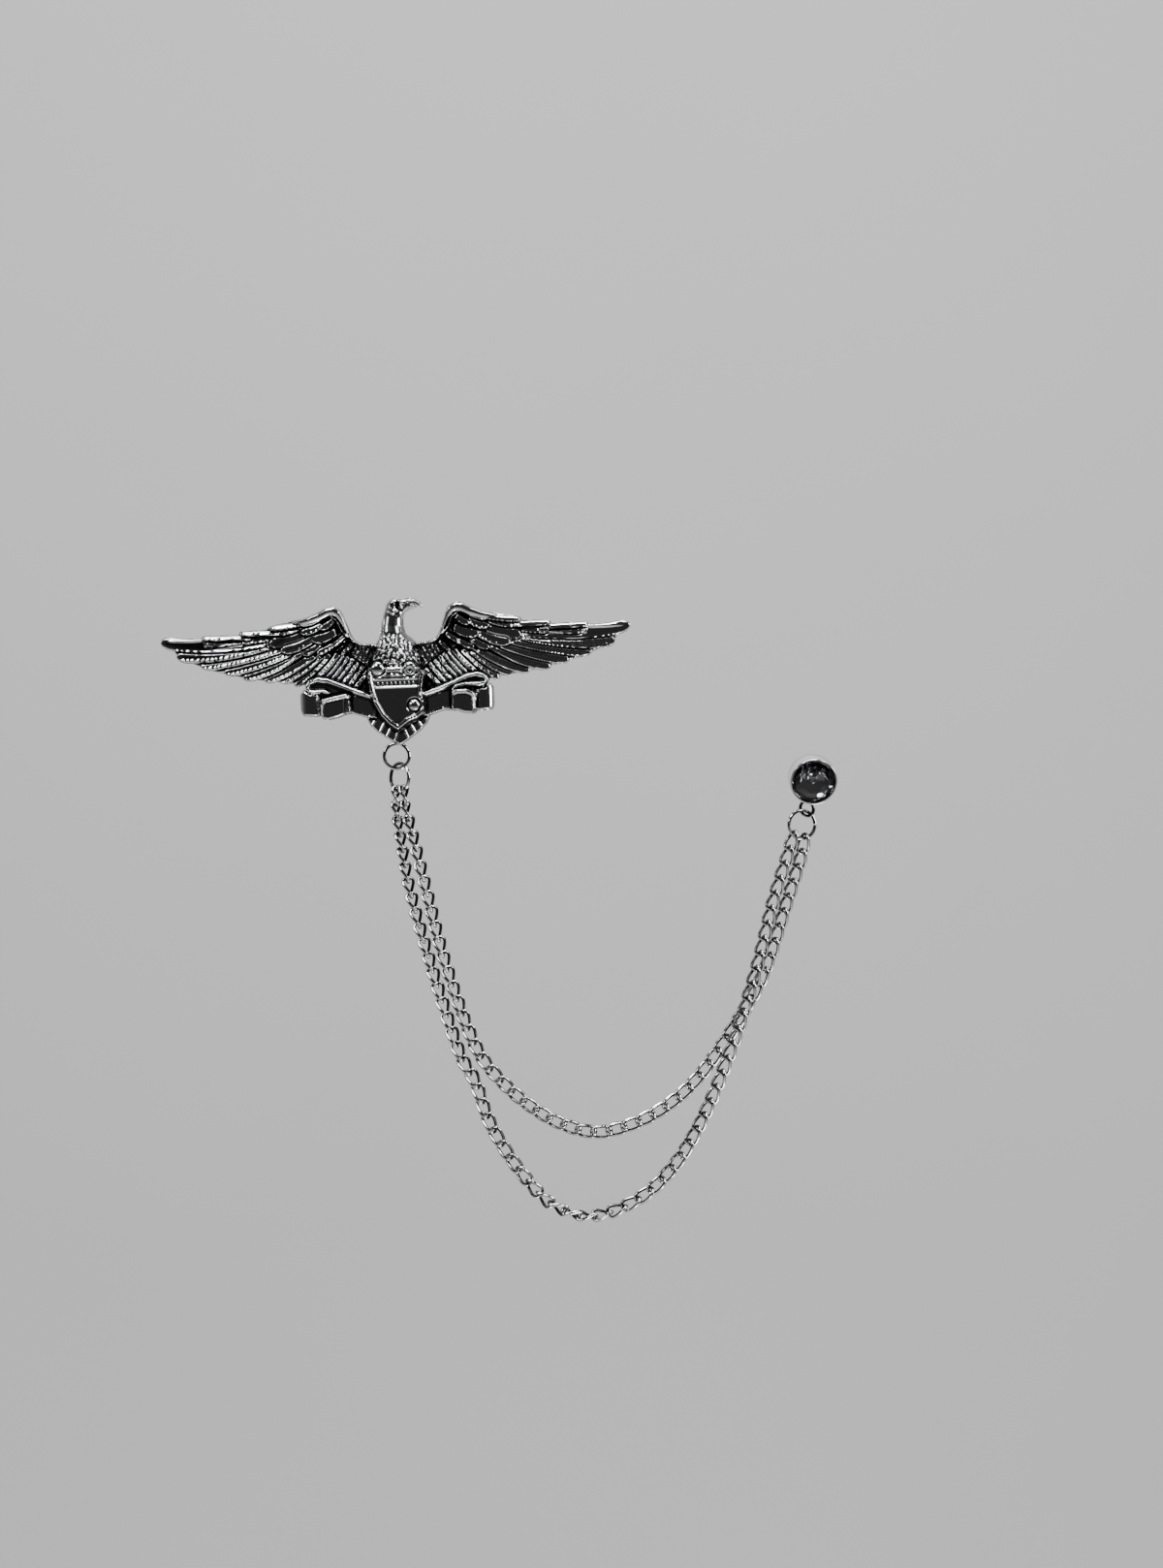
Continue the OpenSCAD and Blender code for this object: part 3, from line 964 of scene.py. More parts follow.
                    cut_after.append(True)
            faces += np.stack(order, 1).tolist()
            for k in range(len(order)):
                if cut_after[k] and cut_after[(k + 1) % len(order)]:
                    outline += list(zip(order[k].tolist(), order[(k + 1) % len(order)].tolist()))
        return np.concatenate(points), faces, outline


@dataclass(frozen=True)
class VaneStyle:
    """How the face of a feather is worked: a smooth part, a raised strip and a fine rim."""

    tilt: float = 0.1
    strip: Point = (0.0, -0.7)
    strip_wall: float = 0.1
    slope: float = 0.45
    dash_depth: float = 0.45
    dash_pitch: float = 0.55
    dash_gap: float = 0.9
    dash_slant: float = 0.5
    line: float = 0.0
    line_pitch: float = 0.34
    rim: float = 0.09
    rim_in: float = 0.1
    rim_w: float = 0.09
    grain: float = 0.012

    def top(self, blade: Blade, root_h: float, tip_h: float, seed: int) -> Heights:
        """Height of one feather laid along a blade.

        Args:
            blade: the feather's outline.
            root_h: height of its face at the root.
            tip_h: height of its face at the tip.
            seed: number that its dashes and grain are drawn from.

        Returns:
            The height as a function of x, z and the distance inside the outline.
        """
        length = blade.length()

        def height(x: np.ndarray, z: np.ndarray, edge: np.ndarray) -> np.ndarray:
            """Height at points of the feather."""
            s, t = blade.along(x, z)
            half = np.maximum(blade.half(s), 0.05)
            across = np.clip(t / half, -1, 1)
            body = root_h + (tip_h - root_h) * np.clip(s, 0, 1) - self.tilt * across
            wide = (self.strip[0] - self.strip[1]) * blade.width / 2
            down = (self.strip[0] - across) / (self.strip[0] - self.strip[1])
            wall = np.clip(1 - (down - 1) * wide / self.strip_wall, 0, 1)
            ramp = np.where(down < 1, np.clip(down, 0, 1), wall)
            ends = np.clip(s * 9 - 0.3, 0, 1) * np.clip((1 - s) * length / 0.5 - 0.3, 0, 1)
            stir = 0.22 * hash_noise(x, z, 0.55, seed)
            beat = np.sin(2 * math.pi * (s * length + self.dash_slant * t + stir) / self.dash_pitch)
            dash = np.clip(2.2 * beat - self.dash_gap + 0.9 * hash_noise(x, z, 0.9, seed + 3), 0, 1)
            strip = self.slope * wide * ramp * ends * (1 - self.dash_depth * dash)
            rim = rim_line(edge, self.rim, self.rim_in, self.rim_w) * np.where(t < 0, 1, 0.5)
            lines = self.line * np.cos(2 * math.pi * t / self.line_pitch) * ends
            return body + strip + rim + lines + self.grain * hash_noise(x, z, 0.3, seed + 7)

        return height


class Vane(Enum):
    """The kinds of feather on the wings."""

    LEFT_FLIGHT = VaneStyle(tilt=0.04, strip=(-0.22, -0.66), dash_depth=1.0, dash_pitch=0.68, dash_gap=0.4,
                            rim=0.05)
    RIGHT_FLIGHT = VaneStyle(slope=0.1, dash_depth=0.6, line=0.045, line_pitch=0.36, rim=0.1)
    COVERT = VaneStyle(tilt=0.02, strip=(-0.1, -0.6), slope=0.3, dash_depth=1.0, dash_gap=-0.4, rim=0.09)
    BAR = VaneStyle(tilt=0.0, strip=(0.85, -0.8), slope=0.36, dash_depth=0.12, dash_pitch=1.9, rim=0.0)
    PLAIN = VaneStyle(tilt=0.02, slope=0.0, rim=0.09)
    DOTTED = VaneStyle(tilt=0.0, strip=(0.15, -0.4), slope=0.6, dash_depth=1.0, dash_pitch=0.56, dash_gap=0.1,
                       rim=0.03)


@dataclass
class Wing:
    """One wing: flight feathers, coverts, the bars of the leading edge and the shoulder."""

    side: Side
    plate_h: float = 1.0
    bed_h: float = 1.7
    bed_draft: float = 0.3
    flight_h: float = 1.55
    full_flights: int = 8
    flight_seed: int = 11
    leaf_seed: int = 50
    bar_seed: int = 80
    scale_seed: int = 5
    scale_rows: int = 11
    scales: int = 24
    # Feathers: x and z of the tip and of the root, bow and width, then the height and whether it has a strip
    flights: Sequence[Row] = (
        (33.4, 6.35, 18.5, 6.0, -0.60, 1.9), (31.2, 4.2, 18.0, 5.5, -0.55, 1.8),
        (27.8, 2.75, 15.8, 5.1, -0.32, 1.6), (24.5, 1.7, 14.9, 4.4, -0.30, 1.5),
        (21.9, 0.8, 13.5, 4.2, -0.48, 1.4), (18.9, 0.35, 11.6, 3.7, -0.38, 1.3),
        (16.6, 0.05, 10.7, 3.6, -0.40, 1.2), (14.6, -0.55, 9.4, 3.8, -0.25, 1.05),
        (13.0, -0.8, 8.2, 3.8, -0.25, 1.0), (11.9, -1.0, 7.5, 3.7, -0.20, 0.95),
        (10.9, -1.2, 6.8, 3.4, -0.20, 0.9), (9.9, -1.4, 6.1, 3.0, -0.15, 0.85),
        (8.9, -1.6, 5.4, 2.5, -0.15, 0.85), (7.9, -1.8, 4.7, 2.0, -0.10, 0.85),
        (6.9, -2.1, 4.0, 1.3, -0.10, 0.85))
    leaves: Sequence[Row] = (
        (26.8, 5.95, 21.5, 6.3, -0.10, 1.2, 1.75, 0), (17.9, 5.5, 13.0, 6.7, -0.15, 1.7, 1.95, 0),
        (21.8, 6.0, 18.0, 6.4, -0.05, 1.0, 1.95, 0), (16.3, 4.5, 11.6, 6.1, -0.35, 1.3, 2.1, 1),
        (13.3, 3.8, 10.6, 5.3, -0.15, 1.0, 2.1, 1), (11.2, 3.9, 8.6, 5.2, -0.10, 0.9, 2.15, 1),
        (17.8, 7.2, 13.2, 7.9, -0.30, 1.1, 2.3, 0), (11.9, 5.9, 8.4, 6.9, -0.30, 1.4, 2.35, 0),
        (8.9, 4.9, 7.2, 6.2, -0.05, 0.8, 2.2, 1), (7.7, 3.7, 6.2, 5.1, -0.05, 0.7, 2.0, 1),
        (13.4, 6.95, 10.4, 7.9, -0.25, 1.1, 2.55, 1), (10.6, 7.3, 8.7, 8.5, -0.10, 1.0, 2.65, 0),
        (13.4, 8.1, 10.3, 9.0, -0.20, 0.9, 2.75, 0))
    bars: Sequence[Row] = (
        (27.5, 6.75, 20.5, 6.6, -0.10, 0.85, 2.0), (22.1, 7.2, 16.8, 7.05, -0.10, 0.85, 2.3),
        (17.9, 7.7, 12.6, 8.3, -0.12, 0.8, 2.6))
    # Outlines: x and z
    lead: Sequence[Point] = (
        (31.5, 6.45), (27.6, 6.5), (27.3, 7.05), (22.3, 6.95), (22.0, 7.45), (18.2, 7.6), (17.8, 8.05),
        (14.4, 8.75), (12.3, 9.1), (10.4, 9.9), (9.1, 10.45), (8.3, 10.4), (7.4, 9.6), (6.9, 8.3),
        (6.3, 6.6), (5.6, 5.4), (4.6, 4.7), (2.2, 4.6))
    trail: Sequence[Point] = (
        (2.2, -2.5), (5.0, -2.2), (7.5, -1.6), (10.0, -1.1), (13.2, -0.45), (16.6, 0.1), (20.2, 0.6),
        (22.7, 1.15), (26.3, 2.1), (29.2, 3.3), (31.4, 4.7))
    covert_bed: Sequence[Point] = (
        (27.0, 5.6), (22.0, 5.5), (18.6, 5.2), (16.0, 4.6), (13.4, 4.1), (11.0, 4.4), (9.0, 4.9), (7.3, 5.4))
    scale_patch: Sequence[Point] = (
        (3.5, 4.5), (5.4, 5.1), (6.8, 6.2), (8.2, 4.6), (7.8, 2.2), (7.0, 0.2), (6.0, -1.6), (3.5, -1.6))
    # Rounded edges: x, z, height of the centre and radius
    tip_edge: Sequence[Row] = (
        (33.0, 6.4, 1.1, 0.2), (31.5, 6.42, 1.2, 0.3), (29.5, 6.4, 1.3, 0.32), (27.3, 6.45, 1.4, 0.3))
    shoulder: Sequence[Row] = (
        (14.2, 8.15, 2.3, 0.4), (12.3, 8.6, 2.4, 0.55), (10.6, 9.2, 2.4, 0.65), (9.5, 9.75, 2.4, 0.7),
        (8.7, 9.85, 2.4, 0.7), (8.1, 9.55, 2.4, 0.65), (7.6, 8.9, 2.4, 0.5), (7.2, 8.0, 2.4, 0.34),
        (6.7, 6.7, 2.2, 0.24), (6.0, 5.55, 2.0, 0.22), (4.9, 4.95, 1.8, 0.22), (3.0, 4.8, 1.7, 0.22))
    inner_line: Sequence[Row] = (
        (8.9, 9.0, 2.75, 0.14), (8.2, 8.5, 2.75, 0.14), (7.9, 7.95, 2.7, 0.14), (7.6, 7.1, 2.55, 0.14),
        (6.7, 6.1, 2.3, 0.14))

    def strike(self, relief: Relief) -> None:
        """Works the wing into the relief, from its plate up.

        Args:
            relief: the casting.
        """
        flight = Vane.LEFT_FLIGHT if self.side is Side.LEFT else Vane.RIGHT_FLIGHT
        root_h, tip_h = self.flight_h + 0.2, self.flight_h - 0.25
        relief.lay(Outline([*self.lead, *self.trail]), level(self.plate_h), self.side)
        for number, row in reversed(list(enumerate(self.flights))):
            vane = Vane.PLAIN if number == 0 else flight if number < self.full_flights else Vane.DOTTED
            self._lay_feather(relief, row, vane, root_h, tip_h, self.flight_seed + number, cuts=True)
        bed = Outline([*self.covert_bed, *reversed(self.lead[2:-3])])
        relief.lay(bed, level(self.bed_h), self.side, draft=self.bed_draft)
        self._strike_scales(relief)
        for number, row in enumerate(self.leaves):
            vane = Vane.COVERT if row[7] else Vane.PLAIN
            self._lay_feather(relief, row, vane, row[6] - 0.15, row[6], self.leaf_seed + number)
        for number, row in enumerate(self.bars):
            self._lay_feather(relief, row, Vane.BAR, row[6], row[6] - 0.1, self.bar_seed + number)
        for limb in (Limb(self.shoulder), Limb(self.inner_line), Limb(self.tip_edge)):
            relief.swell(limb, limb.top, self.side)

    def _lay_feather(self, relief: Relief, row: Row, vane: Vane, root_h: float, tip_h: float, seed: int,
                     cuts: bool = False) -> None:
        """Lays one feather with the line pressed round it.

        Args:
            relief: the casting.
            row: its place and size.
            vane: its kind.
            root_h: height of its face at the root.
            tip_h: height of its face at the tip.
            seed: number that its dashes and grain are drawn from.
            cuts: whether it belongs to the casting's outline.
        """
        blade = Blade((row[2], row[3]), (row[0], row[1]), row[4], row[5])
        relief.lay(blade, vane.value.top(blade, root_h, tip_h, seed), self.side,
                   DEEP_GROOVE if cuts else GROOVE, cuts)

    def _strike_scales(self, relief: Relief) -> None:
        """Works in small ragged tufts where the wing meets the body, in slanting rows.

        Args:
            relief: the casting.
        """
        luck = np.random.default_rng(self.scale_seed + self.side)
        patch = Outline(self.scale_patch)
        for row in range(self.scale_rows):
            for k in range(self.scales):
                x = 1.5 + 0.68 * row + 0.17 * k + luck.uniform(-0.06, 0.06)
                z = 6.4 - 0.36 * k + luck.uniform(-0.06, 0.06)
                if luck.random() < 0.3 or patch.edge(np.array([x]), np.array([z]))[0] < 0:
                    continue
                tuft(relief, x, z, luck.uniform(0.11, 0.19), luck.uniform(0.1, 0.28),
                     luck.uniform(-1.4, -0.8), self.side)


def tuft(relief: Relief, x: float, z: float, size: float, lift: float, turn: float, side: int = 1) -> None:
    """Raises one small tuft.

    Args:
        relief: the casting.
        x: place across.
        z: place upwards.
        size: half of its width.
        lift: its height.
        turn: its heading, in radians.
        side: side of the eagle, where the left one is a mirror image.
    """
    stretch, pressed, room = 1.6, 0.35, 0.6
    c, s = math.cos(turn), math.sin(turn)

    def change(px: np.ndarray, pz: np.ndarray) -> np.ndarray:
        """Height that the tuft adds, with a line pressed round it."""
        along, over = ((px - x) * c + (pz - z) * s) / stretch, (pz - z) * c - (px - x) * s
        reach = np.hypot(along, over) / size
        return lift * np.sqrt(np.clip(1 - reach**2, 0, 1)) - pressed * lift * bead(reach - 1.35, 0.4)

    relief.emboss((x - room, z - room, x + room, z + room), change, side)


@dataclass
class Figure:
    """The eagle's body, neck and head."""

    breast_h: float = 4.4
    half_width: float = 3.7
    half_height: float = 4.2
    middle: float = 2.4
    seed: int = 21
    tuft_rows: int = 11
    tuft_top: float = 5.75
    tuft_step: float = 0.5
    tuft_gap: float = 0.62
    beak_floor: float = 1.6
    brow_h: float = 0.26
    cheek_h: float = 0.22
    mouth_in: float = 0.1
    line_w: float = 0.16
    eye: Point = (0.35, 10.3)
    eye_r: float = 0.3
    eye_h: float = 0.1
    eye_in: float = 0.08
    # The eye socket, darkened with painted shade: x, z and half of its width
    socket: Spot = (-0.3, 10.42, 0.75)
    face_box: Box = (-1.8, 8.6, 4.2, 11.8)
    # Rounded parts: x, z, height of the centre and radius
    neck: Sequence[Row] = (
        (0.0, 3.6, 1.6, 2.9), (-0.35, 5.6, 1.7, 1.95), (-0.4, 7.2, 1.75, 1.62), (-0.25, 8.6, 1.8, 1.45),
        (0.15, 9.95, 1.9, 1.42))
    beak: Sequence[Row] = (
        (1.1, 10.35, 1.9, 0.85), (2.0, 10.72, 2.0, 0.6), (2.8, 10.8, 2.0, 0.46), (3.4, 10.6, 1.95, 0.34),
        (3.75, 10.25, 1.9, 0.2), (3.85, 10.05, 1.8, 0.12))
    jaw: Sequence[Row] = ((0.9, 9.7, 1.6, 0.6), (2.0, 10.05, 1.6, 0.4), (3.0, 10.2, 1.5, 0.22))
    brow: Sequence[Row] = (
        (-0.55, 10.6, 0, 0.06), (-0.2, 10.9, 0, 0.12), (0.5, 11.05, 0, 0.14), (1.3, 10.9, 0, 0.08))
    cheek: Sequence[Row] = (
        (-0.7, 10.2, 0, 0.1), (-0.55, 9.6, 0, 0.16), (-0.15, 9.3, 0, 0.14), (0.5, 9.55, 0, 0.08),
        (1.2, 10.1, 0, 0.08), (1.7, 10.75, 0, 0.06), (2.3, 11.05, 0, 0.05))
    mouth: Sequence[Row] = (
        (0.35, 9.05, 0, 0.12), (1.1, 9.6, 0, 0.1), (1.75, 10.2, 0, 0.1), (2.4, 10.6, 0, 0.08),
        (3.1, 10.62, 0, 0.08), (3.6, 10.3, 0, 0.06))

    def strike(self, relief: Relief) -> None:
        """Works body, neck, feathers and head into the relief.

        Args:
            relief: the casting.
        """
        body = Outline([(self.half_width * math.cos(a), self.middle + self.half_height * math.sin(a))
                        for a in np.linspace(0, 2 * math.pi, 40, endpoint=False)])
        relief.swell(body, self._body)
        neck, jaw, beak = Limb(self.neck), Limb(self.jaw), Limb(self.beak)
        relief.swell(neck, neck.top)
        self._strike_tufts(relief)
        relief.swell(jaw, jaw.top)

        def beak_top(x: np.ndarray, z: np.ndarray, edge: np.ndarray) -> np.ndarray:
            """Height of the beak, with a floor at its rim."""
            return np.maximum(beak.top(x, z, edge), self.beak_floor)

        relief.lay(beak, beak_top)
        relief.emboss(self.face_box, self._face)

    def _body(self, x: np.ndarray, z: np.ndarray, edge: np.ndarray) -> np.ndarray:
        """Height of the breast."""
        fall = 1 - (x / self.half_width)**2 - ((z - self.middle) / self.half_height)**2
        return self.breast_h * np.sqrt(np.maximum(fall, 0))

    def _strike_tufts(self, relief: Relief) -> None:
        """Works in rows of small feathers down the breast and the lower neck.

        Args:
            relief: the casting.
        """
        luck = np.random.default_rng(self.seed)
        for row in range(self.tuft_rows):
            z = self.tuft_top - self.tuft_step * row
            reach = 1.5 + 1.7 * min(1.0, (6.6 - z) / 2.6)
            count = round(2 * reach / self.tuft_gap)
            for k in range(count):
                x = reach * (2 * (k + 0.5 * (row % 2)) / (count - 0.5) - 1) - 0.1
                if luck.random() < 0.3:
                    continue
                tuft(relief, x + luck.uniform(-0.12, 0.12), z + luck.uniform(-0.1, 0.1),
                     luck.uniform(0.16, 0.34), luck.uniform(0.1, 0.28),
                     -1.57 + 0.25 * x + luck.uniform(-0.5, 0.5))

    def _face(self, x: np.ndarray, z: np.ndarray) -> np.ndarray:
        """What brow, cheek and eye add to the height, and the pressed line of the mouth takes away.

        Args:
            x: places across.
            z: places upwards.

        Returns:
            The change of height.
        """
        brow, cheek, mouth = (bead(np.minimum(Limb(line).edge(x, z), 0), self.line_w)
                              for line in (self.brow, self.cheek, self.mouth))
        away = np.hypot(x - self.eye[0], z - self.eye[1])
        lines = self.brow_h * brow + self.cheek_h * cheek - self.mouth_in * mouth
        return lines - self.eye_in * bead(away - self.eye_r, self.line_w) + self.eye_h * bead(away, 0.18)

    def painted_shade(self, x: np.ndarray, z: np.ndarray) -> np.ndarray:
        """Painted shade: how much darker the head is made in the mouth line, round the eye and in the eye's
        socket.

        Args:
            x: places across.
            z: places upwards.

        Returns:
            What is taken off the ridge value.
        """
        mouth = np.clip(Limb(self.mouth).edge(x, z) / 0.1 + 1.3, 0, 1)
        away = np.hypot((x - self.eye[0]) * 0.75, z - self.eye[1])
        ring = 1 - np.clip(np.abs(away - 0.27) / 0.14 - 0.3, 0, 1)
        far = np.hypot(x - self.socket[0] - 0.4 * (z - self.socket[1]), 2.4 * (z - self.socket[1]))
        socket = 1 - step_up(far / self.socket[2], 0.8, 0.3)
        return np.maximum(np.maximum(0.7 * mouth, 0.3 * ring), 0.6 * socket)


@dataclass
class Shield:
    """The shield on the breast, with its double rim, chief, knobs and boss."""

    field_h: float = 4.45
    draft: float = 0.25
    rim_h: float = 0.2
    rim_w: float = 0.56
    rim_slope: float = 0.2
    knob_r: float = 1.0
    boss: Point = (2.45, -3.95)
    boss_r: float = 0.85
    dome_rise: float = 0.62
    bead_z: float = -0.74
    bead_h: float = 0.12
    bead_pitch: float = 0.62
    ragged_z: float = 0.42
    ragged_h: float = 0.22
    line_w: float = 0.09
    # The lines of the chief: z and height
    bars: Sequence[Point] = ((-0.2, 0.14), (-1.27, 0.2))
    outline: Sequence[Point] = (
        (-3.85, 1.5), (-3.95, -0.2), (-3.65, -1.8), (-3.2, -3.4), (-2.2, -5.3), (-1.1, -6.5), (0.0, -7.3),
        (1.5, -6.2), (2.8, -5.7), (3.7, -5.0), (3.8, -3.7), (3.55, -2.3), (3.7, -0.5), (4.0, 0.4), (3.4, 1.3))
    knobs: Sequence[Point] = ((-2.55, 1.4), (2.0, 1.25))
    knob_hollows: Sequence[float] = (0.0, 0.5)

    def strike(self, relief: Relief) -> None:
        """Works the shield into the relief.

        Args:
            relief: the casting.
        """
        relief.lay(Outline(self.outline), self._plate, draft=self.draft)
        for (x, z), hollow in zip(self.knobs, self.knob_hollows):
            self._strike_dome(relief, x, z, self.knob_r, hollow)
        self._strike_dome(relief, *self.boss, self.boss_r, 0.0)

    def _strike_dome(self, relief: Relief, x: float, z: float, radius: float, hollow: float) -> None:
        """Lays a low dome on the plate.

        Args:
            relief: the casting.
            x: its place across.
            z: its place upwards.
            radius: its radius.
            hollow: how deep its middle is pressed in.
        """
        def top(px: np.ndarray, pz: np.ndarray, edge: np.ndarray) -> np.ndarray:
            """Height of the dome."""
            away = np.hypot(px - x, pz - z + hollow * 0.5)
            share = np.clip(edge / radius, 0, 1)
            swell = np.sqrt(share * (2 - share))
            return self.field_h - 0.1 + self.dome_rise * radius * swell - hollow * bead(away, 0.5 * radius)

        relief.lay(Limb(((x, z, 0, radius), (x, z, 0, radius)), steps=1), top, groove=GROOVE)

    def _plate(self, x: np.ndarray, z: np.ndarray, edge: np.ndarray) -> np.ndarray:
        """Height of the plate: a double rim, then the lines and beads of the chief.

        Args:
            x: places across.
            z: places upwards.
            edge: distance inside the outline.

        Returns:
            The height.
        """
        step = step_up(-edge, -self.rim_w, self.rim_slope)
        lips = 0.12 * (bead(edge - 0.12, self.line_w) + bead(edge - 0.42, 0.08))
        rim = self.rim_h * step * step * (3 - 2 * step) + lips
        within = np.clip(edge / 0.15 - 4, 0, 1)
        lines = sum(high * bead(z - at, self.line_w) for at, high in self.bars)
        row = np.clip(0.3 + np.cos(2 * math.pi * x / self.bead_pitch), 0, 1)
        beads = self.bead_h * bead(z - self.bead_z, 0.1) * row
        stir, fade = hash_noise(x, z, 0.6, 9), hash_noise(x, z, 0.4, 4)
        ragged = self.ragged_h * bead(z - self.ragged_z - 0.1 * stir, 0.14) * (0.6 + 0.4 * fade)
        return self.field_h + rim + within * (lines + beads + ragged)


@dataclass
class Ribbon:
    """The ribbon on one side: band, rolled hem, outer roll and the fold in front."""

    side: Side
    crease: float
    fold: Sequence[Point]
    lip: Sequence[Row]
    hem: Sequence[Row]
    band_h: float = 2.5
    fold_h: float = 3.95
    fold_draft: float = 0.2
    fold_middle: float = 9.2
    fold_bow: float = 0.05
    strip_drop: float = 0.9
    crease_h: float = 0.2
    roll_x: float = 12.25
    roll_half: float = 1.55
    roll_base: float = 1.7
    roll_rise: float = 1.4
    band: Sequence[Point] = (
        (3.0, -5.55), (3.0, -2.4), (5.8, -1.7), (8.1, -0.8), (9.8, -0.05), (11.4, 0.25), (12.5, 0.0),
        (13.0, -0.9), (12.2, -2.2), (8.6, -4.95), (6.5, -4.8), (4.6, -5.4))
    roll: Sequence[Point] = (
        (10.9, -4.9), (10.9, -2.0), (12.4, -1.8), (13.2, -1.1), (13.75, -1.7), (13.75, -4.3), (13.4, -4.9),
        (11.5, -5.05))

    def strike(self, relief: Relief) -> None:
        """Works the ribbon into the relief.

        Args:
            relief: the casting.
        """
        relief.lay(Outline(self.band), self._band, self.side, FINE_GROOVE)
        relief.lay(Outline(self.roll), self._roll, self.side, FINE_GROOVE)
        hem, lip = Limb(self.hem), Limb(self.lip)
        relief.swell(hem, hem.top, self.side)
        relief.lay(Outline(self.fold), self._fold, self.side, GROOVE, draft=self.fold_draft)
        relief.swell(lip, lip.top, self.side)

    def _band(self, x: np.ndarray, z: np.ndarray, edge: np.ndarray) -> np.ndarray:
        """Height of the main band, with a few stray grains along its lower edge."""
        grains = 0.12 * (hash_noise(x, z, 0.28, 12) > 0.62) * bead(edge - 0.45, 0.2)
        return self.band_h + rim_line(edge, 0.16, 0.12, 0.1) + grains

    def _roll(self, x: np.ndarray, z: np.ndarray, edge: np.ndarray) -> np.ndarray:
        """Height of the rolled end."""
        bulge = np.sqrt(np.clip(1 - ((x - self.roll_x) / self.roll_half)**2, 0.02, 1))
        return self.roll_base + self.roll_rise * bulge + rim_line(edge, 0.08)

    def _fold(self, x: np.ndarray, z: np.ndarray, edge: np.ndarray) -> np.ndarray:
        """Height of the fold in front, with a turned strip beyond its crease.

        Args:
            x: places across.
            z: places upwards.
            edge: distance inside the outline.

        Returns:
            The height.
        """
        beyond = np.clip(self.side * (x - self.crease), 0, 1)
        bow = self.fold_h - self.fold_bow * (x - self.fold_middle)**2
        creased = bow - self.strip_drop * beyond + self.crease_h * bead(x - self.crease, 0.1)
        return creased + rim_line(edge, 0.12)


@dataclass
class Tail:
    """The fan of the tail with its ribs."""

    floor_h: float = 1.9
    rib_h: float = 0.19
    rib_w: float = 0.18
    fan: Sequence[Point] = (
        (-3.4, -3.0), (-4.5, -5.5), (-4.0, -6.6), (-3.1, -7.5), (-2.0, -8.3), (-1.0, -8.95), (0.15, -9.5),
        (1.1, -8.95), (2.0, -8.3), (3.1, -7.5), (4.0, -6.6), (4.5, -5.5), (3.4, -3.0))
    # Ribs: x and z of both ends
    ribs: Sequence[Row] = (
        (-2.7, -4.9, -3.9, -6.9), (-1.5, -5.4, -2.75, -7.7), (-0.65, -6.1, -1.8, -8.4),
        (0.1, -7.0, -0.65, -9.1), (0.55, -6.7, 1.45, -8.85), (1.4, -6.0, 2.5, -8.1),
        (2.3, -5.4, 3.5, -7.3), (3.2, -4.6, 4.2, -6.3))

    def strike(self, relief: Relief) -> None:
        """Works the tail into the relief.

        Args:
            relief: the casting.
        """
        relief.lay(Outline(self.fan), self._fan)
        for ends in self.ribs:
            self._strike_rib(relief, *ends)

    def _fan(self, x: np.ndarray, z: np.ndarray, edge: np.ndarray) -> np.ndarray:
        """Height of the fan, with a fine rim."""
        return self.floor_h + rim_line(edge, 0.08, 0.16)

    def _strike_rib(self, relief: Relief, ax: float, az: float, bx: float, bz: float) -> None:
        """Raises one rib.

        Args:
            relief: the casting.
            ax: place across of its upper end.
            az: place upwards of its upper end.
            bx: place across of its lower end.
            bz: place upwards of its lower end.
        """
        rib = Limb(((ax, az, 0, self.rib_w), (bx, bz, 0, self.rib_w)), steps=16)

        def raised(x: np.ndarray, z: np.ndarray) -> np.ndarray:
            """Height that the rib adds."""
            return self.rib_h * np.clip(rib.edge(x, z) / self.rib_w, 0, 1)

        relief.emboss(rib.box(), raised)


@dataclass(frozen=True)
class WireRing:
    """A ring of round wire, cut or closed."""

    at: Spot
    diameter: float
    wire: float
    tilt: Spot
    cut: float = 0.0
    cut_clock: float = 0.0
    points: int = 96
    sides: int = 16

    def make(self, name: str, tree: ShapeTree) -> bpy.types.Object:
        """Sweeps the wire round the ring.

        Args:
            name: name of the object.
            tree: the tree that sweeps it.

        Returns:
            The ring.
        """
        radius = (self.diameter - self.wire) / 2
        gap = math.degrees(self.cut / radius) if self.cut else 360 / self.points
        values = {"Radius": radius * MM, "Wire radius": self.wire / 2 * MM, "Points": self.points,
                  "Wire sides": self.sides, "Start": math.radians(self.cut_clock + gap / 2),
                  "Sweep": math.radians(360 - gap), "Closed": not self.cut,
                  "Place": tuple(v * MM for v in self.at), "Tilt": tuple(math.radians(v) for v in self.tilt)}
        made = tree.grow(name, bpy.data.meshes.new(name), values)
        # Painted shade on the wire's flanks
        paint_flank_shade(made)
        return made


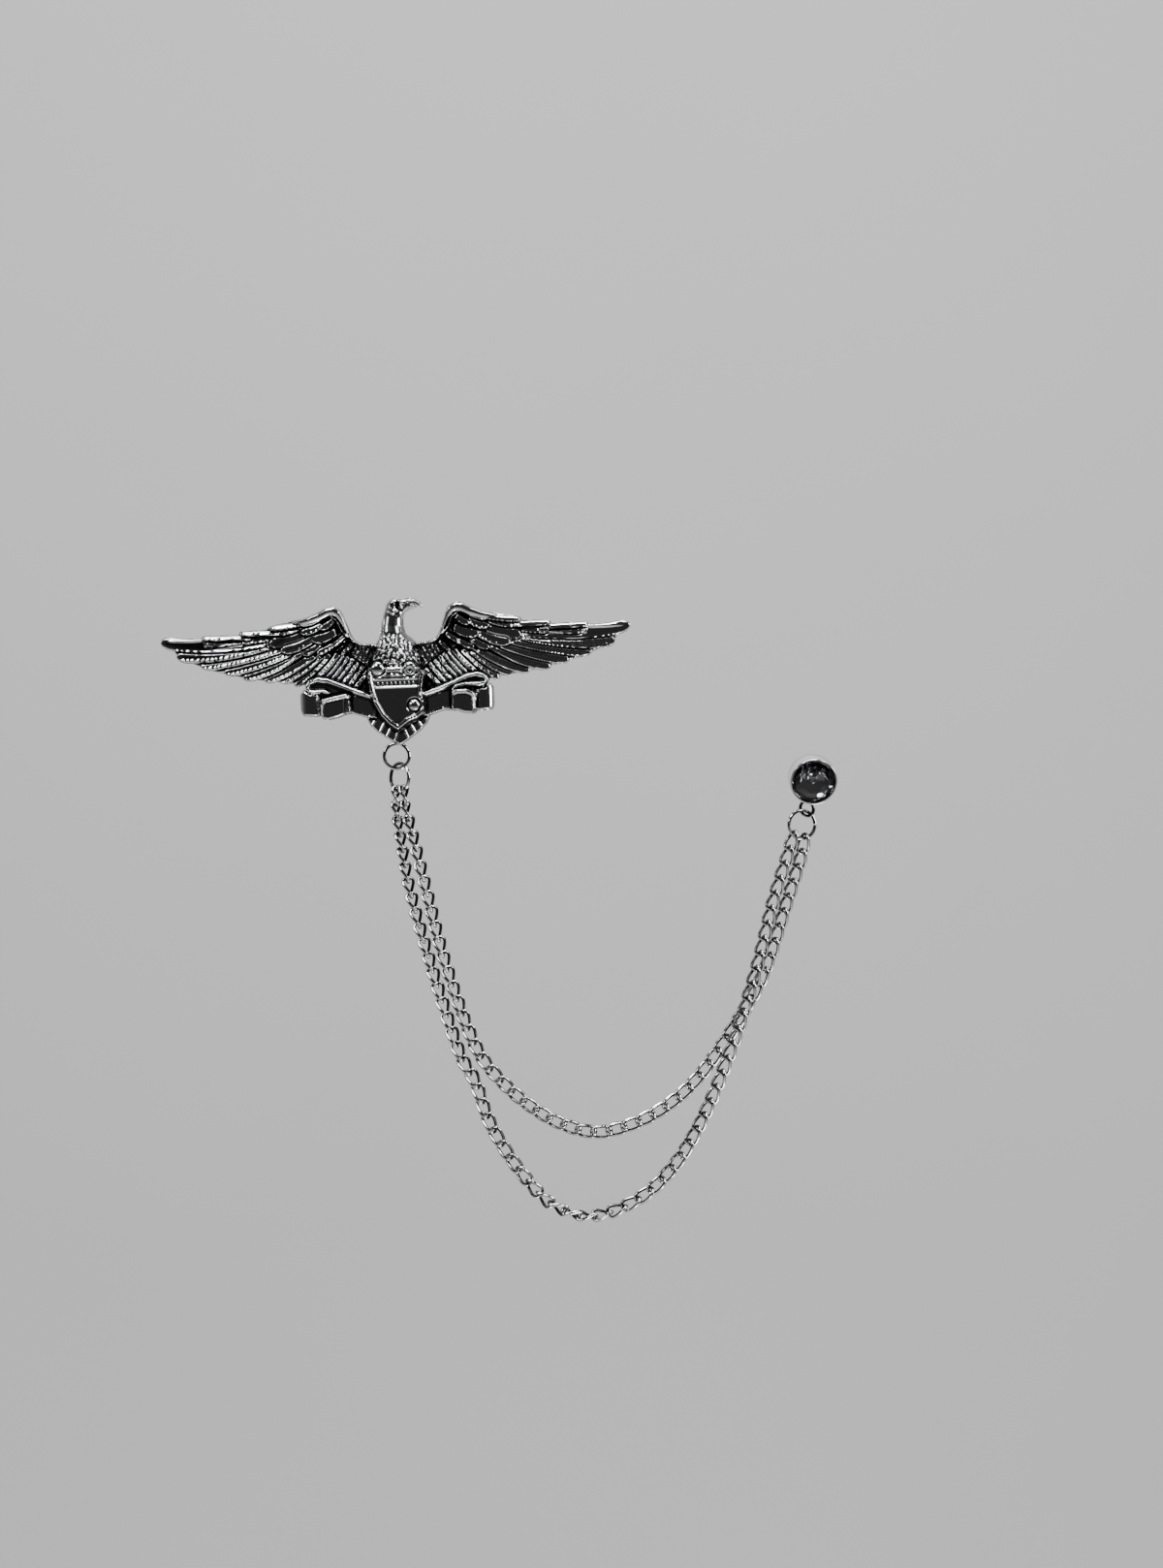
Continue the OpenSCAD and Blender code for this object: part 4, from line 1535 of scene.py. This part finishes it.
def ring_tree(finish: bpy.types.Material) -> ShapeTree:
    """Makes the tree that sweeps a round wire along an arc and puts it in its place.

    Args:
        finish: the wire's material.

    Returns:
        The tree.
    """
    tree = ShapeTree("wire ring", {
        "Radius": 0.002, "Wire radius": 0.00025, "Points": 96, "Wire sides": 16, "Start": 0.0, "Sweep": 6.2,
        "Closed": False, "Place": (0.0, 0.0, 0.0), "Tilt": (0.0, 0.0, 0.0)})
    arc = tree.add("GeometryNodeCurveArc", {"mode": "RADIUS"}, {
        "Resolution": tree.given("Points"), "Radius": tree.given("Radius"),
        "Start Angle": tree.given("Start"), "Sweep Angle": tree.given("Sweep")})
    loop = tree.add("GeometryNodeSetSplineCyclic", {}, {"Geometry": arc, "Cyclic": tree.given("Closed")})
    wire = tree.add("GeometryNodeCurvePrimitiveCircle", {"mode": "RADIUS"}, {
        "Resolution": tree.given("Wire sides"), "Radius": tree.given("Wire radius")})
    swept = tree.add("GeometryNodeCurveToMesh", {}, {"Curve": loop, "Profile Curve": wire, "Fill Caps": True})
    placed = tree.add("GeometryNodeTransform", {}, {
        "Geometry": tree.darken_inside(swept), "Translation": tree.given("Place"),
        "Rotation": tree.given("Tilt")})
    tree.close(placed, finish)
    return tree


@dataclass(frozen=True)
class CurbLink:
    """Size of one link: half length, half width and twist of its centre line, and its wire."""

    pitch: float = 2.2
    wire: float = 0.47
    half_length: float = 1.42
    half_width: float = 0.78
    twist: float = -0.5
    fullness: float = 2.4
    points: int = 18
    sides: int = 8


def strand_tree(finish: bpy.types.Material) -> ShapeTree:
    """Makes the tree that threads curb links along a curve, turned about it by the curve's tilt.

    Args:
        finish: the links' material.

    Returns:
        The tree.
    """
    tree = ShapeTree("curb strand", {
        "Links": 50, "Half length": 0.001, "Half width": 0.001, "Twist": 0.001, "Wire radius": 0.0002,
        "Fullness": 2.4, "Link points": 18, "Wire sides": 8})
    loop = tree.add("GeometryNodeCurvePrimitiveCircle", {"mode": "RADIUS"}, {
        "Resolution": tree.given("Link points"), "Radius": 1.0})
    angle = (tree.add("GeometryNodeInputIndex", {}, {}) + 0.5) * math.tau / tree.given("Link points")
    power = 2 / tree.given("Fullness")

    def full(value: Sock) -> Sock:
        """The value's sign times its power."""
        return tree.math("SIGN", value) * tree.math("ABSOLUTE", value) ** power

    spot = tree.add("ShaderNodeCombineXYZ", {}, {
        "X": tree.given("Half length") * full(tree.math("COSINE", angle)),
        "Y": tree.given("Half width") * full(tree.math("SINE", angle)),
        "Z": tree.given("Twist") * tree.math("SINE", angle * 2)})
    bent = tree.add("GeometryNodeSetPosition", {}, {"Geometry": loop, "Position": spot})
    wire = tree.add("GeometryNodeCurvePrimitiveCircle", {"mode": "RADIUS"}, {
        "Resolution": tree.given("Wire sides"), "Radius": tree.given("Wire radius")})
    link = tree.darken_inside(tree.add("GeometryNodeCurveToMesh", {}, {"Curve": bent, "Profile Curve": wire}))
    line = tree.add("GeometryNodeResampleCurve", {"mode": "COUNT"}, {
        "Curve": tree.given("Geometry"), "Count": tree.given("Links")})
    ahead = tree.add("GeometryNodeInputTangent", {}, {})
    tilt = tree.add("GeometryNodeInputCurveTilt", {}, {})
    level_way = tree.vector("NORMALIZE", tree.vector("CROSS_PRODUCT", ahead, (0.0, 1.0, 0.0)))
    upright = tree.vector("CROSS_PRODUCT", ahead, level_way)
    across = tree.vector("ADD", tree.scaled(level_way, tree.math("COSINE", tilt)),
                         tree.scaled(upright, tree.math("SINE", tilt)))
    turn = tree.add("FunctionNodeAxesToRotation", {"primary_axis": "X", "secondary_axis": "Y"}, {
        "Primary Axis": ahead, "Secondary Axis": across})
    threaded = tree.add("GeometryNodeInstanceOnPoints", {}, {
        "Points": line, "Instance": link, "Rotation": turn})
    tree.close(threaded, finish)
    return tree


@dataclass(frozen=True)
class Hook:
    """Where a strand hangs on a jump ring."""

    ring: WireRing
    clock: float
    pull: Spot
    link_turn: float

    def knots(self, link: CurbLink) -> list[Row]:
        """Finds the first two points of a strand's way.

        Args:
            link: the strand's link.

        Returns:
            Place and turn of the two links, nearest the ring first.
        """
        clock, turn = math.radians(self.clock), math.radians(self.ring.tilt[2])
        out = Vector((math.sin(clock) * math.cos(turn), math.sin(clock) * math.sin(turn), -math.cos(clock)))
        start = Vector(self.ring.at) + out * (self.ring.diameter - self.ring.wire) / 2
        pull = Vector(self.pull).normalized()
        first = link.pitch - link.half_length
        return [(*(start + pull * reach), self.link_turn) for reach in (first, first + link.pitch)]


@dataclass
class Strand:
    """One strand of curb chain along its way from the eagle to the stud."""

    name: str
    start: Hook
    way: Sequence[Row]
    end: Hook
    link: CurbLink = CurbLink()
    steps: int = 8

    def _curve(self) -> np.ndarray:
        """Draws a smooth way through the points.

        Returns:
            Place and turn at every point of it.
        """
        p = np.array([*self.start.knots(self.link), *self.way, *reversed(self.end.knots(self.link))])
        ends = np.concatenate([[2 * p[0] - p[1]], p, [2 * p[-1] - p[-2]]])
        a, b, c, d = (ends[k:len(ends) - 3 + k][:, None, :] for k in range(4))
        t = np.linspace(0, 1, self.steps, endpoint=False)[None, :, None]
        square, cube = 2 * a - 5 * b + 4 * c - d, 3 * b - a - 3 * c + d
        line = 0.5 * (2 * b + (c - a) * t + square * t**2 + cube * t**3)
        return np.concatenate([line.reshape(-1, 4), p[-1:]])

    def make(self, tree: ShapeTree) -> bpy.types.Object:
        """Threads the links along the way.

        Args:
            tree: the tree that threads them.

        Returns:
            The strand.
        """
        line = self._curve()
        length = float(np.linalg.norm(np.diff(line[:, :3], axis=0), axis=1).sum())
        data = bpy.data.curves.new(self.name, "CURVE")
        data.dimensions = "3D"
        spline = data.splines.new("POLY")
        spline.points.add(len(line) - 1)
        for point, (x, y, z, turn) in zip(spline.points, line):
            point.co = (x * MM, y * MM, z * MM, 1)
            point.tilt = math.radians(turn)
        link = self.link
        LOG.info("%s is %.0f mm long", self.name, length)
        made = tree.grow(self.name, data, {
            "Links": round(length / link.pitch) + 1, "Half length": link.half_length * MM,
            "Half width": link.half_width * MM, "Twist": link.twist * MM, "Wire radius": link.wire / 2 * MM,
            "Fullness": link.fullness, "Link points": link.points, "Wire sides": link.sides})
        # Painted shade on the links' flanks
        paint_flank_shade(made)
        return made


@dataclass
class Eagle:
    """The cast eagle with the ring soldered behind its tail."""

    roll: float = 2.2
    grid_low: Point = (-34.2, -10.2)
    grid_high: Point = (34.2, 12.2)
    grid_step: float = 0.092
    # x and z of the tail ring, and how far its middle is in front of the back
    tail_ring_at: Spot = (-0.45, -11.02, 1.3)
    tail_ring_d: float = 4.07
    ring_wire: float = 0.5
    left_crease: float = 7.5
    right_crease: float = 10.6
    back_skin: float = 0.3
    # Painted shade and light: highest ridge value on flanks, the parts by the body and neck that are darkened
    # and how much, the left wing darker, the right wing lighter
    flank_least: float = 0.15
    breast_half: float = 4.2
    breast_top: float = 2.5
    head_foot: float = 8.4
    bed_foot: float = -2.2
    join_end: float = 10.5
    wing_foot: float = 9.0
    join_painted_shade: float = 0.15
    left_painted_shade: float = 0.34
    right_painted_light: float = 0.15

    def make(self, finish: bpy.types.Material, rings: ShapeTree) -> bpy.types.Object:
        """Strikes the relief, cuts it out and solders on the ring.

        Args:
            finish: the casting's material.
            rings: the tree that sweeps the ring.

        Returns:
            The casting.
        """
        relief = Relief(self.grid_low, self.grid_high, self.grid_step)
        figure = Figure()
        for part in (Wing(Side.LEFT), Wing(Side.RIGHT), Tail(), figure,
                     Ribbon(Side.LEFT, self.left_crease, LEFT_FOLD, LEFT_LIP, LEFT_HEM),
                     Ribbon(Side.RIGHT, self.right_crease, RIGHT_FOLD, RIGHT_LIP, RIGHT_HEM), Shield()):
            part.strike(relief)
        relief.settle()
        eagle = relief.solid("eagle_cast", self.roll)
        x, z, y = self.tail_ring_at
        c, s = math.cos(math.radians(self.roll)), math.sin(math.radians(self.roll))
        ring = WireRing((x * c - z * s, -y, x * s + z * c), self.tail_ring_d, self.ring_wire, tilt=(90, 0, 0))
        fuse(eagle, ring.make("tail_ring", rings))
        self._mark_ridges_and_shade(eagle, relief, figure)
        dress(eagle, finish, sharp=50)
        return eagle

    def _mark_ridges_and_shade(self, eagle: bpy.types.Object, relief: Relief, figure: Figure) -> None:
        """Stores on the mesh how far each point stands over what is round it, with painted shade on flanks,
        on the tail ring's inner side, by the body, in the face, on the neck and on the left wing.

        Args:
            eagle: the casting.
            relief: the relief that it was cut from.
            figure: the eagle's body and head.
        """
        c, s = math.cos(math.radians(self.roll)), math.sin(math.radians(self.roll))
        wide, y, high = points_of(eagle).T / MM
        x, z = wide * c + high * s, high * c - wide * s
        ridge = np.where(y > -self.back_skin, FLAT_RIDGE, relief.ridge_at(x, z))
        # Painted shade on the inner side of the tail ring
        away = np.hypot(x - self.tail_ring_at[0], z - self.tail_ring_at[1])
        out = away - (self.tail_ring_d - self.ring_wire) / 2
        ridge = np.where(relief.free_at(x, z), out / self.ring_wire + WIRE_RIDGE, ridge)
        # Painted shade where the casting turns away from the front, less deep above z = 8 mm
        flank = np.where(z > 8, 2 * self.flank_least, self.flank_least) + 0.6 * front_share(eagle, 0.3)
        mark(eagle, np.minimum(ridge - self._painted_shade(x, z, figure), flank))

    def _painted_shade(self, x: np.ndarray, z: np.ndarray, figure: Figure) -> np.ndarray:
        """Painted shade: how much darker the casting is made by the body, in the face, on the neck and on the
        left wing, and painted light on the right wing.

        Args:
            x: places across.
            z: places upwards.
            figure: the eagle's body and head.

        Returns:
            What is taken off the ridge value, less than nothing on the right wing, where light is painted on.
        """
        middle = np.abs(x) < self.breast_half
        free = middle & (z < self.breast_top) | (z > self.head_foot) & middle | (z < self.bed_foot)
        painted_shade = np.where(free, 0, self.join_painted_shade * step_up(-np.abs(x), -self.join_end, 3))
        painted_shade = np.maximum(painted_shade, figure.painted_shade(x, z))
        painted_shade += np.where(middle & (z > self.breast_top), self.join_painted_shade, 0)
        left, right = step_up(-x, self.wing_foot, 9), step_up(x, self.wing_foot, 3)
        painted_shade += self.left_painted_shade * left - self.right_painted_light * right
        return painted_shade


@dataclass
class Stud:
    """The round stud: cup with its eye and post, and the cut stone."""

    at: Spot = (58.8, -1.2, -13.81)
    down: float = 17.8
    aside: float = 4.2
    cup_d: float = 6.7
    cup_t: float = 3.1
    wall: float = 0.35
    rim_r: float = 0.1
    seat: float = 0.45
    crown_h: float = 0.6
    table_r: float = 1.65
    pavilion_h: float = 1.6
    stone_turn: float = 15
    eye_d: float = 2.7
    eye_clock: float = 8
    eye_turn: float = -40
    eye_points: int = 64
    wire: float = 0.5
    post_d: float = 1.15
    post_l: float = 8.5
    point_l: float = 1.2
    cup_sides: int = 96
    post_sides: int = 32

    def pose(self) -> Matrix:
        """Place and tilt of the stud, in metres."""
        return (Matrix.Translation(Vector(self.at) * MM) @ Matrix.Rotation(math.radians(self.aside), 4, "Z")
                @ Matrix.Rotation(math.radians(self.down), 4, "X") @ Matrix.Scale(MM, 4))

    def _lathe(self, name: str, profile: Sequence[Point], sides: int) -> bpy.types.Object:
        """Turns a solid about the way out of the cup.

        Args:
            name: name of the object.
            profile: radius and height pairs.
            sides: number of sides.

        Returns:
            The solid, in its place.
        """
        rings = len(profile)
        turn = np.linspace(0, 2 * math.pi, sides, endpoint=False)
        points = [(r * math.cos(a), -h, r * math.sin(a)) for r, h in profile for a in turn]
        pairs = [(i, (i + 1) % sides) for i in range(sides)]
        faces = [[low + i, low + k, low + sides + k, low + sides + i]
                 for low in range(0, (rings - 1) * sides, sides) for i, k in pairs]
        faces += [list(range(sides)), list(range((rings - 1) * sides, rings * sides))]
        obj = mesh_object(name, np.array(points), faces)
        obj.data.transform(self.pose())
        return obj

    def _cup_profile(self) -> list[Point]:
        """Draws the section of the cup, from its back over the rounded rim to its seat.

        Returns:
            Radius and height pairs.
        """
        r, t, inner = self.cup_d / 2, self.cup_t, self.cup_d / 2 - self.wall
        soft = self.rim_r
        rim = [(r - soft * (1 - math.cos(a)), t - soft + soft * math.sin(a)) for a in np.linspace(0, 1.5, 5)]
        return [(0.5, 0), (r - 0.35, 0), (r - 0.1, 0.06), (r, 0.3), (r, t - 0.32), *rim,
                (inner + soft, t), (inner + 0.02, t - 0.08), (inner, t - 0.2), (inner, self.seat + 0.2),
                (inner - 0.3, self.seat), (0.5, self.seat)]

    def make_cup(self, finish: bpy.types.Material, rings: ShapeTree) -> bpy.types.Object:
        """Makes the cup with rounded rim, soldered to its eye and its post.

        Args:
            finish: the cup's material.
            rings: the tree that sweeps the eye.

        Returns:
            The cup.
        """
        cup = self._lathe("stud_cup_cast", self._cup_profile(), self.cup_sides)
        radius = (self.eye_d - self.wire) / 2
        eye = WireRing((0, 0, 0), self.eye_d, self.wire, (90, 0, self.eye_turn), points=self.eye_points)
        eye = eye.make("eye", rings)
        hang = Matrix.Rotation(math.radians(self.eye_clock), 4, "Y") @ Matrix.Translation(
            Vector((0, -self.cup_t / 2, -self.cup_d / 2 - radius))) @ Matrix.Scale(1 / MM, 4)
        eye.data.transform(self.pose() @ hang)
        pin, tip = self.post_d / 2, 0.1 - self.post_l
        profile = [(pin, 0.1), (pin, tip + self.point_l + 0.1), (pin * 0.96, tip + self.point_l),
                   (0.12, tip + 0.1), (0.05, tip)]
        fuse(cup, eye, self._lathe("post", profile, self.post_sides))
        self._mark_cup(cup, radius)
        dress(cup, finish, sharp=40)
        return cup

    def _mark_cup(self, cup: bpy.types.Object, radius: float) -> None:
        """Stores the ridge values: painted shade inside the wall round the stone and on the inner side of the
        eye, else bright.

        Args:
            cup: the cup, with its eye and its post.
            radius: radius of the eye's centre line.
        """
        back = self.pose().inverted()
        x, y, z = (points_of(cup) @ np.array(back.to_3x3()).T + np.array(back.translation)).T
        r, wide = self.cup_d / 2, np.hypot(x, z)
        # Painted shade on the inner face of the wall, round the stone
        wall = np.where(wide < r - 0.21, 0.0, SHINY_RIDGE)
        ridge = np.where(wide < r - self.wall - 0.05, FLAT_RIDGE, wall)
        # Painted shade on the inner side of the eye
        turn, drop = math.radians(self.eye_clock), -r - radius
        out = np.hypot(x - drop * math.sin(turn), z - drop * math.cos(turn)) - radius
        ridge = np.where(y > -0.2, SHINY_RIDGE, ridge)
        mark(cup, np.where(z < -r - 0.02, out / self.wire + WIRE_RIDGE, ridge))

    def make_stone(self, finish: bpy.types.Material) -> bpy.types.Object:
        """Cuts a brilliant with table, stars, kites, girdle facets and pavilion.

        Args:
            finish: the stone's material.

        Returns:
            The stone.
        """
        r = self.cup_d / 2 - self.wall - 0.1
        girdle = self.cup_t - self.crown_h + 0.1
        half = math.pi / 8
        turn = math.radians(self.stone_turn)

        def ring(count: int, radius: float, height: float, shift: float) -> list[Spot]:
            """Points round the stone at one height."""
            angles = [k * math.tau / count + shift - turn for k in range(count)]
            return [(radius * math.cos(a), -height, radius * math.sin(a)) for a in angles]

        points = ring(8, self.table_r, girdle + self.crown_h, 0)
        points += ring(8, self.table_r + 0.52 * (r - self.table_r), girdle + self.crown_h * 0.6, half)
        points += ring(16, r, girdle, 0) + ring(16, r, girdle - 0.08, 0)
        points += ring(8, r * 0.55, girdle - self.pavilion_h * 0.52, half)
        points += ring(8, 0.2, girdle - self.pavilion_h, half)
        work = bmesh.new()
        for point in points:
            work.verts.new(point)
        bmesh.ops.convex_hull(work, input=work.verts)
        bmesh.ops.dissolve_limit(work, angle_limit=math.radians(0.5), verts=work.verts, edges=work.edges)
        stone = seal(work, bpy.data.meshes.new("stud_stone_cut"))
        stone.data.transform(self.pose())
        stone.data.materials.append(finish)
        return stone


@dataclass(frozen=True)
class Lamp:
    """A square soft lamp, in metres and watts."""

    name: str
    at: Spot
    size: float
    power: float

    def hang(self, target: Spot) -> None:
        """Hangs the lamp and turns it to its target.

        Args:
            target: the place that it faces.
        """
        data = bpy.data.lights.new(self.name, "AREA")
        data.shape, data.size, data.energy = "SQUARE", self.size, self.power
        lamp = linked(bpy.data.objects.new(self.name, data))
        lamp.visible_camera = False
        lamp.location = self.at
        aim = Vector(target) - Vector(self.at)
        lamp.rotation_euler = aim.to_track_quat("-Z", "Y").to_euler()


@dataclass
class Studio:
    """Camera, lights, surroundings and the floor."""

    lens: float = 85.0
    sensor: float = 36.0
    frame_h: float = 222.56
    middle: Spot = (26.2, -1.5, -15.0)
    floor_z: float = -0.8
    wall_y: float = 1.0
    bend: float = 0.6
    reach: float = 3.0
    # Name, place, width and power of each lamp
    lamps: Sequence[Lamp] = (
        Lamp("key", (-0.194, -0.439, 0.457), 0.18, 1.9), Lamp("top", (0.1, -0.1, 0.7), 0.3, 6.0),
        Lamp("side", (0.75, -0.2, 0.1), 0.24, 3.0), Lamp("fill", (0.5, -0.42, 0.34), 0.22, 1.8),
        Lamp("left", (-0.6, -0.4, 0.3), 0.2, 1.1), Lamp("low", (0.2, -0.08, -0.5), 0.16, 1.2))
    wall_lamp: Lamp = Lamp("wall", (0.0, 0.2, 1.1), 0.6, 11.0)
    # Grey of the surroundings, from behind the camera to behind the pin
    glow: Sequence[Point] = ((0.0, 0.022), (0.2, 0.022), (0.5, 0.1), (0.8, 0.35), (1.0, 0.6))

    def place_camera(self) -> None:
        """Puts the camera straight in front of the pin, as the photograph was taken."""
        data = bpy.data.cameras.new("camera")
        data.lens, data.sensor_width = self.lens, self.sensor
        data.clip_start, data.clip_end = 0.01, 50
        camera = linked(bpy.data.objects.new("camera", data))
        reach = self.frame_h * self.lens / self.sensor
        x, y, z = self.middle
        camera.location = Vector((x, y - reach, z)) * MM
        camera.rotation_euler = (math.pi / 2, 0, 0)
        bpy.context.scene.camera = camera

    def lay_floor(self) -> None:
        """Lays a pale floor below the pin that bends up behind it."""
        line = [(-self.reach, self.floor_z)]
        for turn in np.linspace(0, math.pi / 2, 33):
            line.append((self.wall_y - self.bend + self.bend * math.sin(turn),
                         self.floor_z + self.bend * (1 - math.cos(turn))))
        line.append((self.wall_y, self.reach))
        points = [(x, y, z) for y, z in line for x in (-self.reach, self.reach)]
        data = bpy.data.meshes.new("floor")
        data.from_pydata(points, [], [[k, k + 1, k + 3, k + 2] for k in range(0, len(points) - 2, 2)])
        floor = linked(bpy.data.objects.new("floor", data))
        dress(floor, PaleFloor("pale_floor").material())

    def light(self) -> None:
        """Hangs the lamps and makes pale surroundings that are dark behind the camera."""
        for lamp in self.lamps:
            lamp.hang(tuple(value * MM for value in self.middle))
        self.wall_lamp.hang((0.0, self.wall_y, 0.0))
        world = bpy.data.worlds.new("studio")
        world.use_nodes = True
        graph, way = start_tree(world.node_tree, "Generated")
        depth = graph.add("ShaderNodeSeparateXYZ", {}, {"Vector": way}, "Y")
        glow = graph.add("ShaderNodeValToRGB", {"stops": self.glow}, {"Fac": depth * 0.5 + 0.5})
        sky = graph.add("ShaderNodeBackground", {}, {"Color": glow, "Strength": 1.0})
        graph.add("ShaderNodeOutputWorld", {}, {"Surface": sky})
        bpy.context.scene.world = world


# Fold: x and z. Lip and hem: x, z, height of the centre and radius
LEFT_FOLD = (
    (6.5, -4.75), (6.75, -2.25), (7.3, -2.05), (10.55, -2.75), (10.75, -5.35), (9.9, -5.6), (8.6, -5.35),
    (7.5, -4.95))
LEFT_LIP = (
    (6.85, -2.4, 3.7, 0.3), (7.3, -2.25, 3.95, 0.32), (8.8, -2.5, 4.0, 0.32), (10.45, -2.9, 3.95, 0.3))
LEFT_HEM = (
    (3.7, -2.45, 2.9, 0.34), (5.8, -1.7, 2.8, 0.36), (8.1, -0.75, 2.7, 0.38), (9.8, -0.05, 2.7, 0.4),
    (11.3, 0.18, 2.75, 0.38), (12.3, -0.15, 2.75, 0.34), (12.75, -0.85, 2.75, 0.3), (12.4, -1.5, 2.85, 0.3),
    (11.6, -1.6, 2.95, 0.32), (10.4, -1.5, 3.0, 0.3), (9.8, -1.8, 3.1, 0.26))
RIGHT_FOLD = (
    (7.8, -4.7), (7.8, -2.3), (8.3, -2.05), (9.8, -2.0), (10.8, -2.4), (11.2, -3.0), (11.2, -5.2),
    (10.6, -5.45), (9.4, -5.3))
RIGHT_LIP = (
    (7.95, -3.1, 3.55, 0.24), (8.0, -2.4, 3.75, 0.3), (8.6, -2.2, 3.9, 0.32), (9.8, -2.2, 4.0, 0.32),
    (10.7, -2.6, 3.9, 0.3), (11.05, -3.2, 3.7, 0.24))
RIGHT_HEM = (
    (3.7, -2.4, 2.9, 0.34), (5.8, -1.75, 2.8, 0.36), (8.1, -0.9, 2.7, 0.38), (9.8, -0.12, 2.7, 0.4),
    (11.3, 0.18, 2.75, 0.38), (12.3, -0.1, 2.75, 0.34), (12.85, -0.65, 2.75, 0.3), (12.5, -1.1, 2.85, 0.3),
    (11.6, -1.3, 2.95, 0.32), (9.8, -1.2, 3.0, 0.3), (8.4, -1.45, 3.05, 0.3), (7.95, -2.0, 3.2, 0.24))
# Ways of the strands: x, y, z and the turn of the links about the way
SHORT_WAY = (
    (2.1, -2.4, -21.5, -66), (4.2, -2.4, -30.0, -50), (7.1, -2.2, -41.0, -42), (11.2, -1.8, -52.2, -22),
    (15.4, -1.6, -57.7, -8), (20.3, -1.5, -61.6, 0), (24.4, -1.5, -63.6, 0), (28.6, -1.5, -64.4, 0),
    (33.0, -1.5, -63.4, 0), (37.0, -1.4, -61.5, 0), (41.0, -1.2, -58.5, -4), (44.4, -1.0, -54.6, -10),
    (48.8, -0.9, -48.0, -16), (52.2, -0.9, -41.6, -20), (55.0, -1.0, -33.0, -22))
LONG_WAY = (
    (0.3, -0.5, -21.5, -70), (1.7, -0.9, -29.5, -60), (4.3, -1.2, -39.0, -50), (8.6, -1.5, -52.4, -35),
    (11.2, -1.5, -57.5, -25), (12.9, -1.5, -62.4, -18), (15.2, -1.5, -66.6, -6), (18.2, -1.5, -70.8, 16),
    (21.6, -1.5, -74.3, 50), (26.4, -1.5, -76.3, 95), (31.3, -1.5, -75.4, 138), (35.8, -1.6, -72.8, 165),
    (39.2, -1.8, -69.3, 175), (41.9, -2.0, -65.2, 160), (44.3, -2.3, -60.4, 152), (46.4, -2.7, -55.2, 149),
    (48.8, -3.0, -48.4, 148), (51.2, -2.8, -40.4, 148), (53.3, -2.2, -32.0, 148))


def main() -> None:
    """Builds the pin piece by piece."""
    logging.basicConfig(level=logging.INFO, format="%(name)s: %(message)s")
    studio = Studio()
    studio.place_camera()
    studio.lay_floor()
    studio.light()
    cast = Silver("cast_silver", bright=0.86, dark=0.05, roughness=0.1, grain=0.05).material()
    bright = Silver("bright_silver", bright=0.86, dark=0.04, roughness=0.1).material()
    steel = Silver("post_steel", bright=0.6, roughness=0.24).material()
    rings = ring_tree(bright)
    eagle_ring = WireRing((0.4, -1.3, -14.075), *JUMP_RING, tilt=(90, 0, -48), cut=JUMP_RING_CUT,
                          cut_clock=205)
    stud_ring = WireRing((57.5, -1.37, -20.75), *JUMP_RING, tilt=(90, 0, 20), cut=JUMP_RING_CUT)
    place(Eagle().make(cast, rings), "eagle", "eagle_metal")
    place(eagle_ring.make("eagle_jump_ring", rings), "jump_ring_eagle", "ring_metal")
    place(stud_ring.make("stud_jump_ring", rings), "jump_ring_stud", "ring_metal")
    strands = strand_tree(bright)
    short = Strand("short_strand", Hook(eagle_ring, clock=24, pull=(0.15, -0.15, -1), link_turn=-80),
                   SHORT_WAY, Hook(stud_ring, clock=12, pull=(-0.2, 0.1, -1), link_turn=-22))
    long = Strand("long_strand", Hook(eagle_ring, clock=-22, pull=(0, 0.15, -1), link_turn=-80),
                  LONG_WAY, Hook(stud_ring, clock=-40, pull=(-0.3, -0.1, -1), link_turn=150))
    place(short.make(strands), "chain_short", "chain_metal")
    place(long.make(strands), "chain_long", "chain_metal")
    stud = Stud()
    place(stud.make_cup(bright, rings), "stud_cup", "cup_metal")
    place(stud.make_stone(CutGlass("smoky_glass").material()), "stud_stone", "cut_stone")
    # The posts stay as the solids are, in steel
    for node in ("eagle_post_left", "eagle_post_right"):
        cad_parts[node].data.materials.clear()
        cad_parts[node].data.materials.append(steel)


if __name__ == "__main__":
    main()
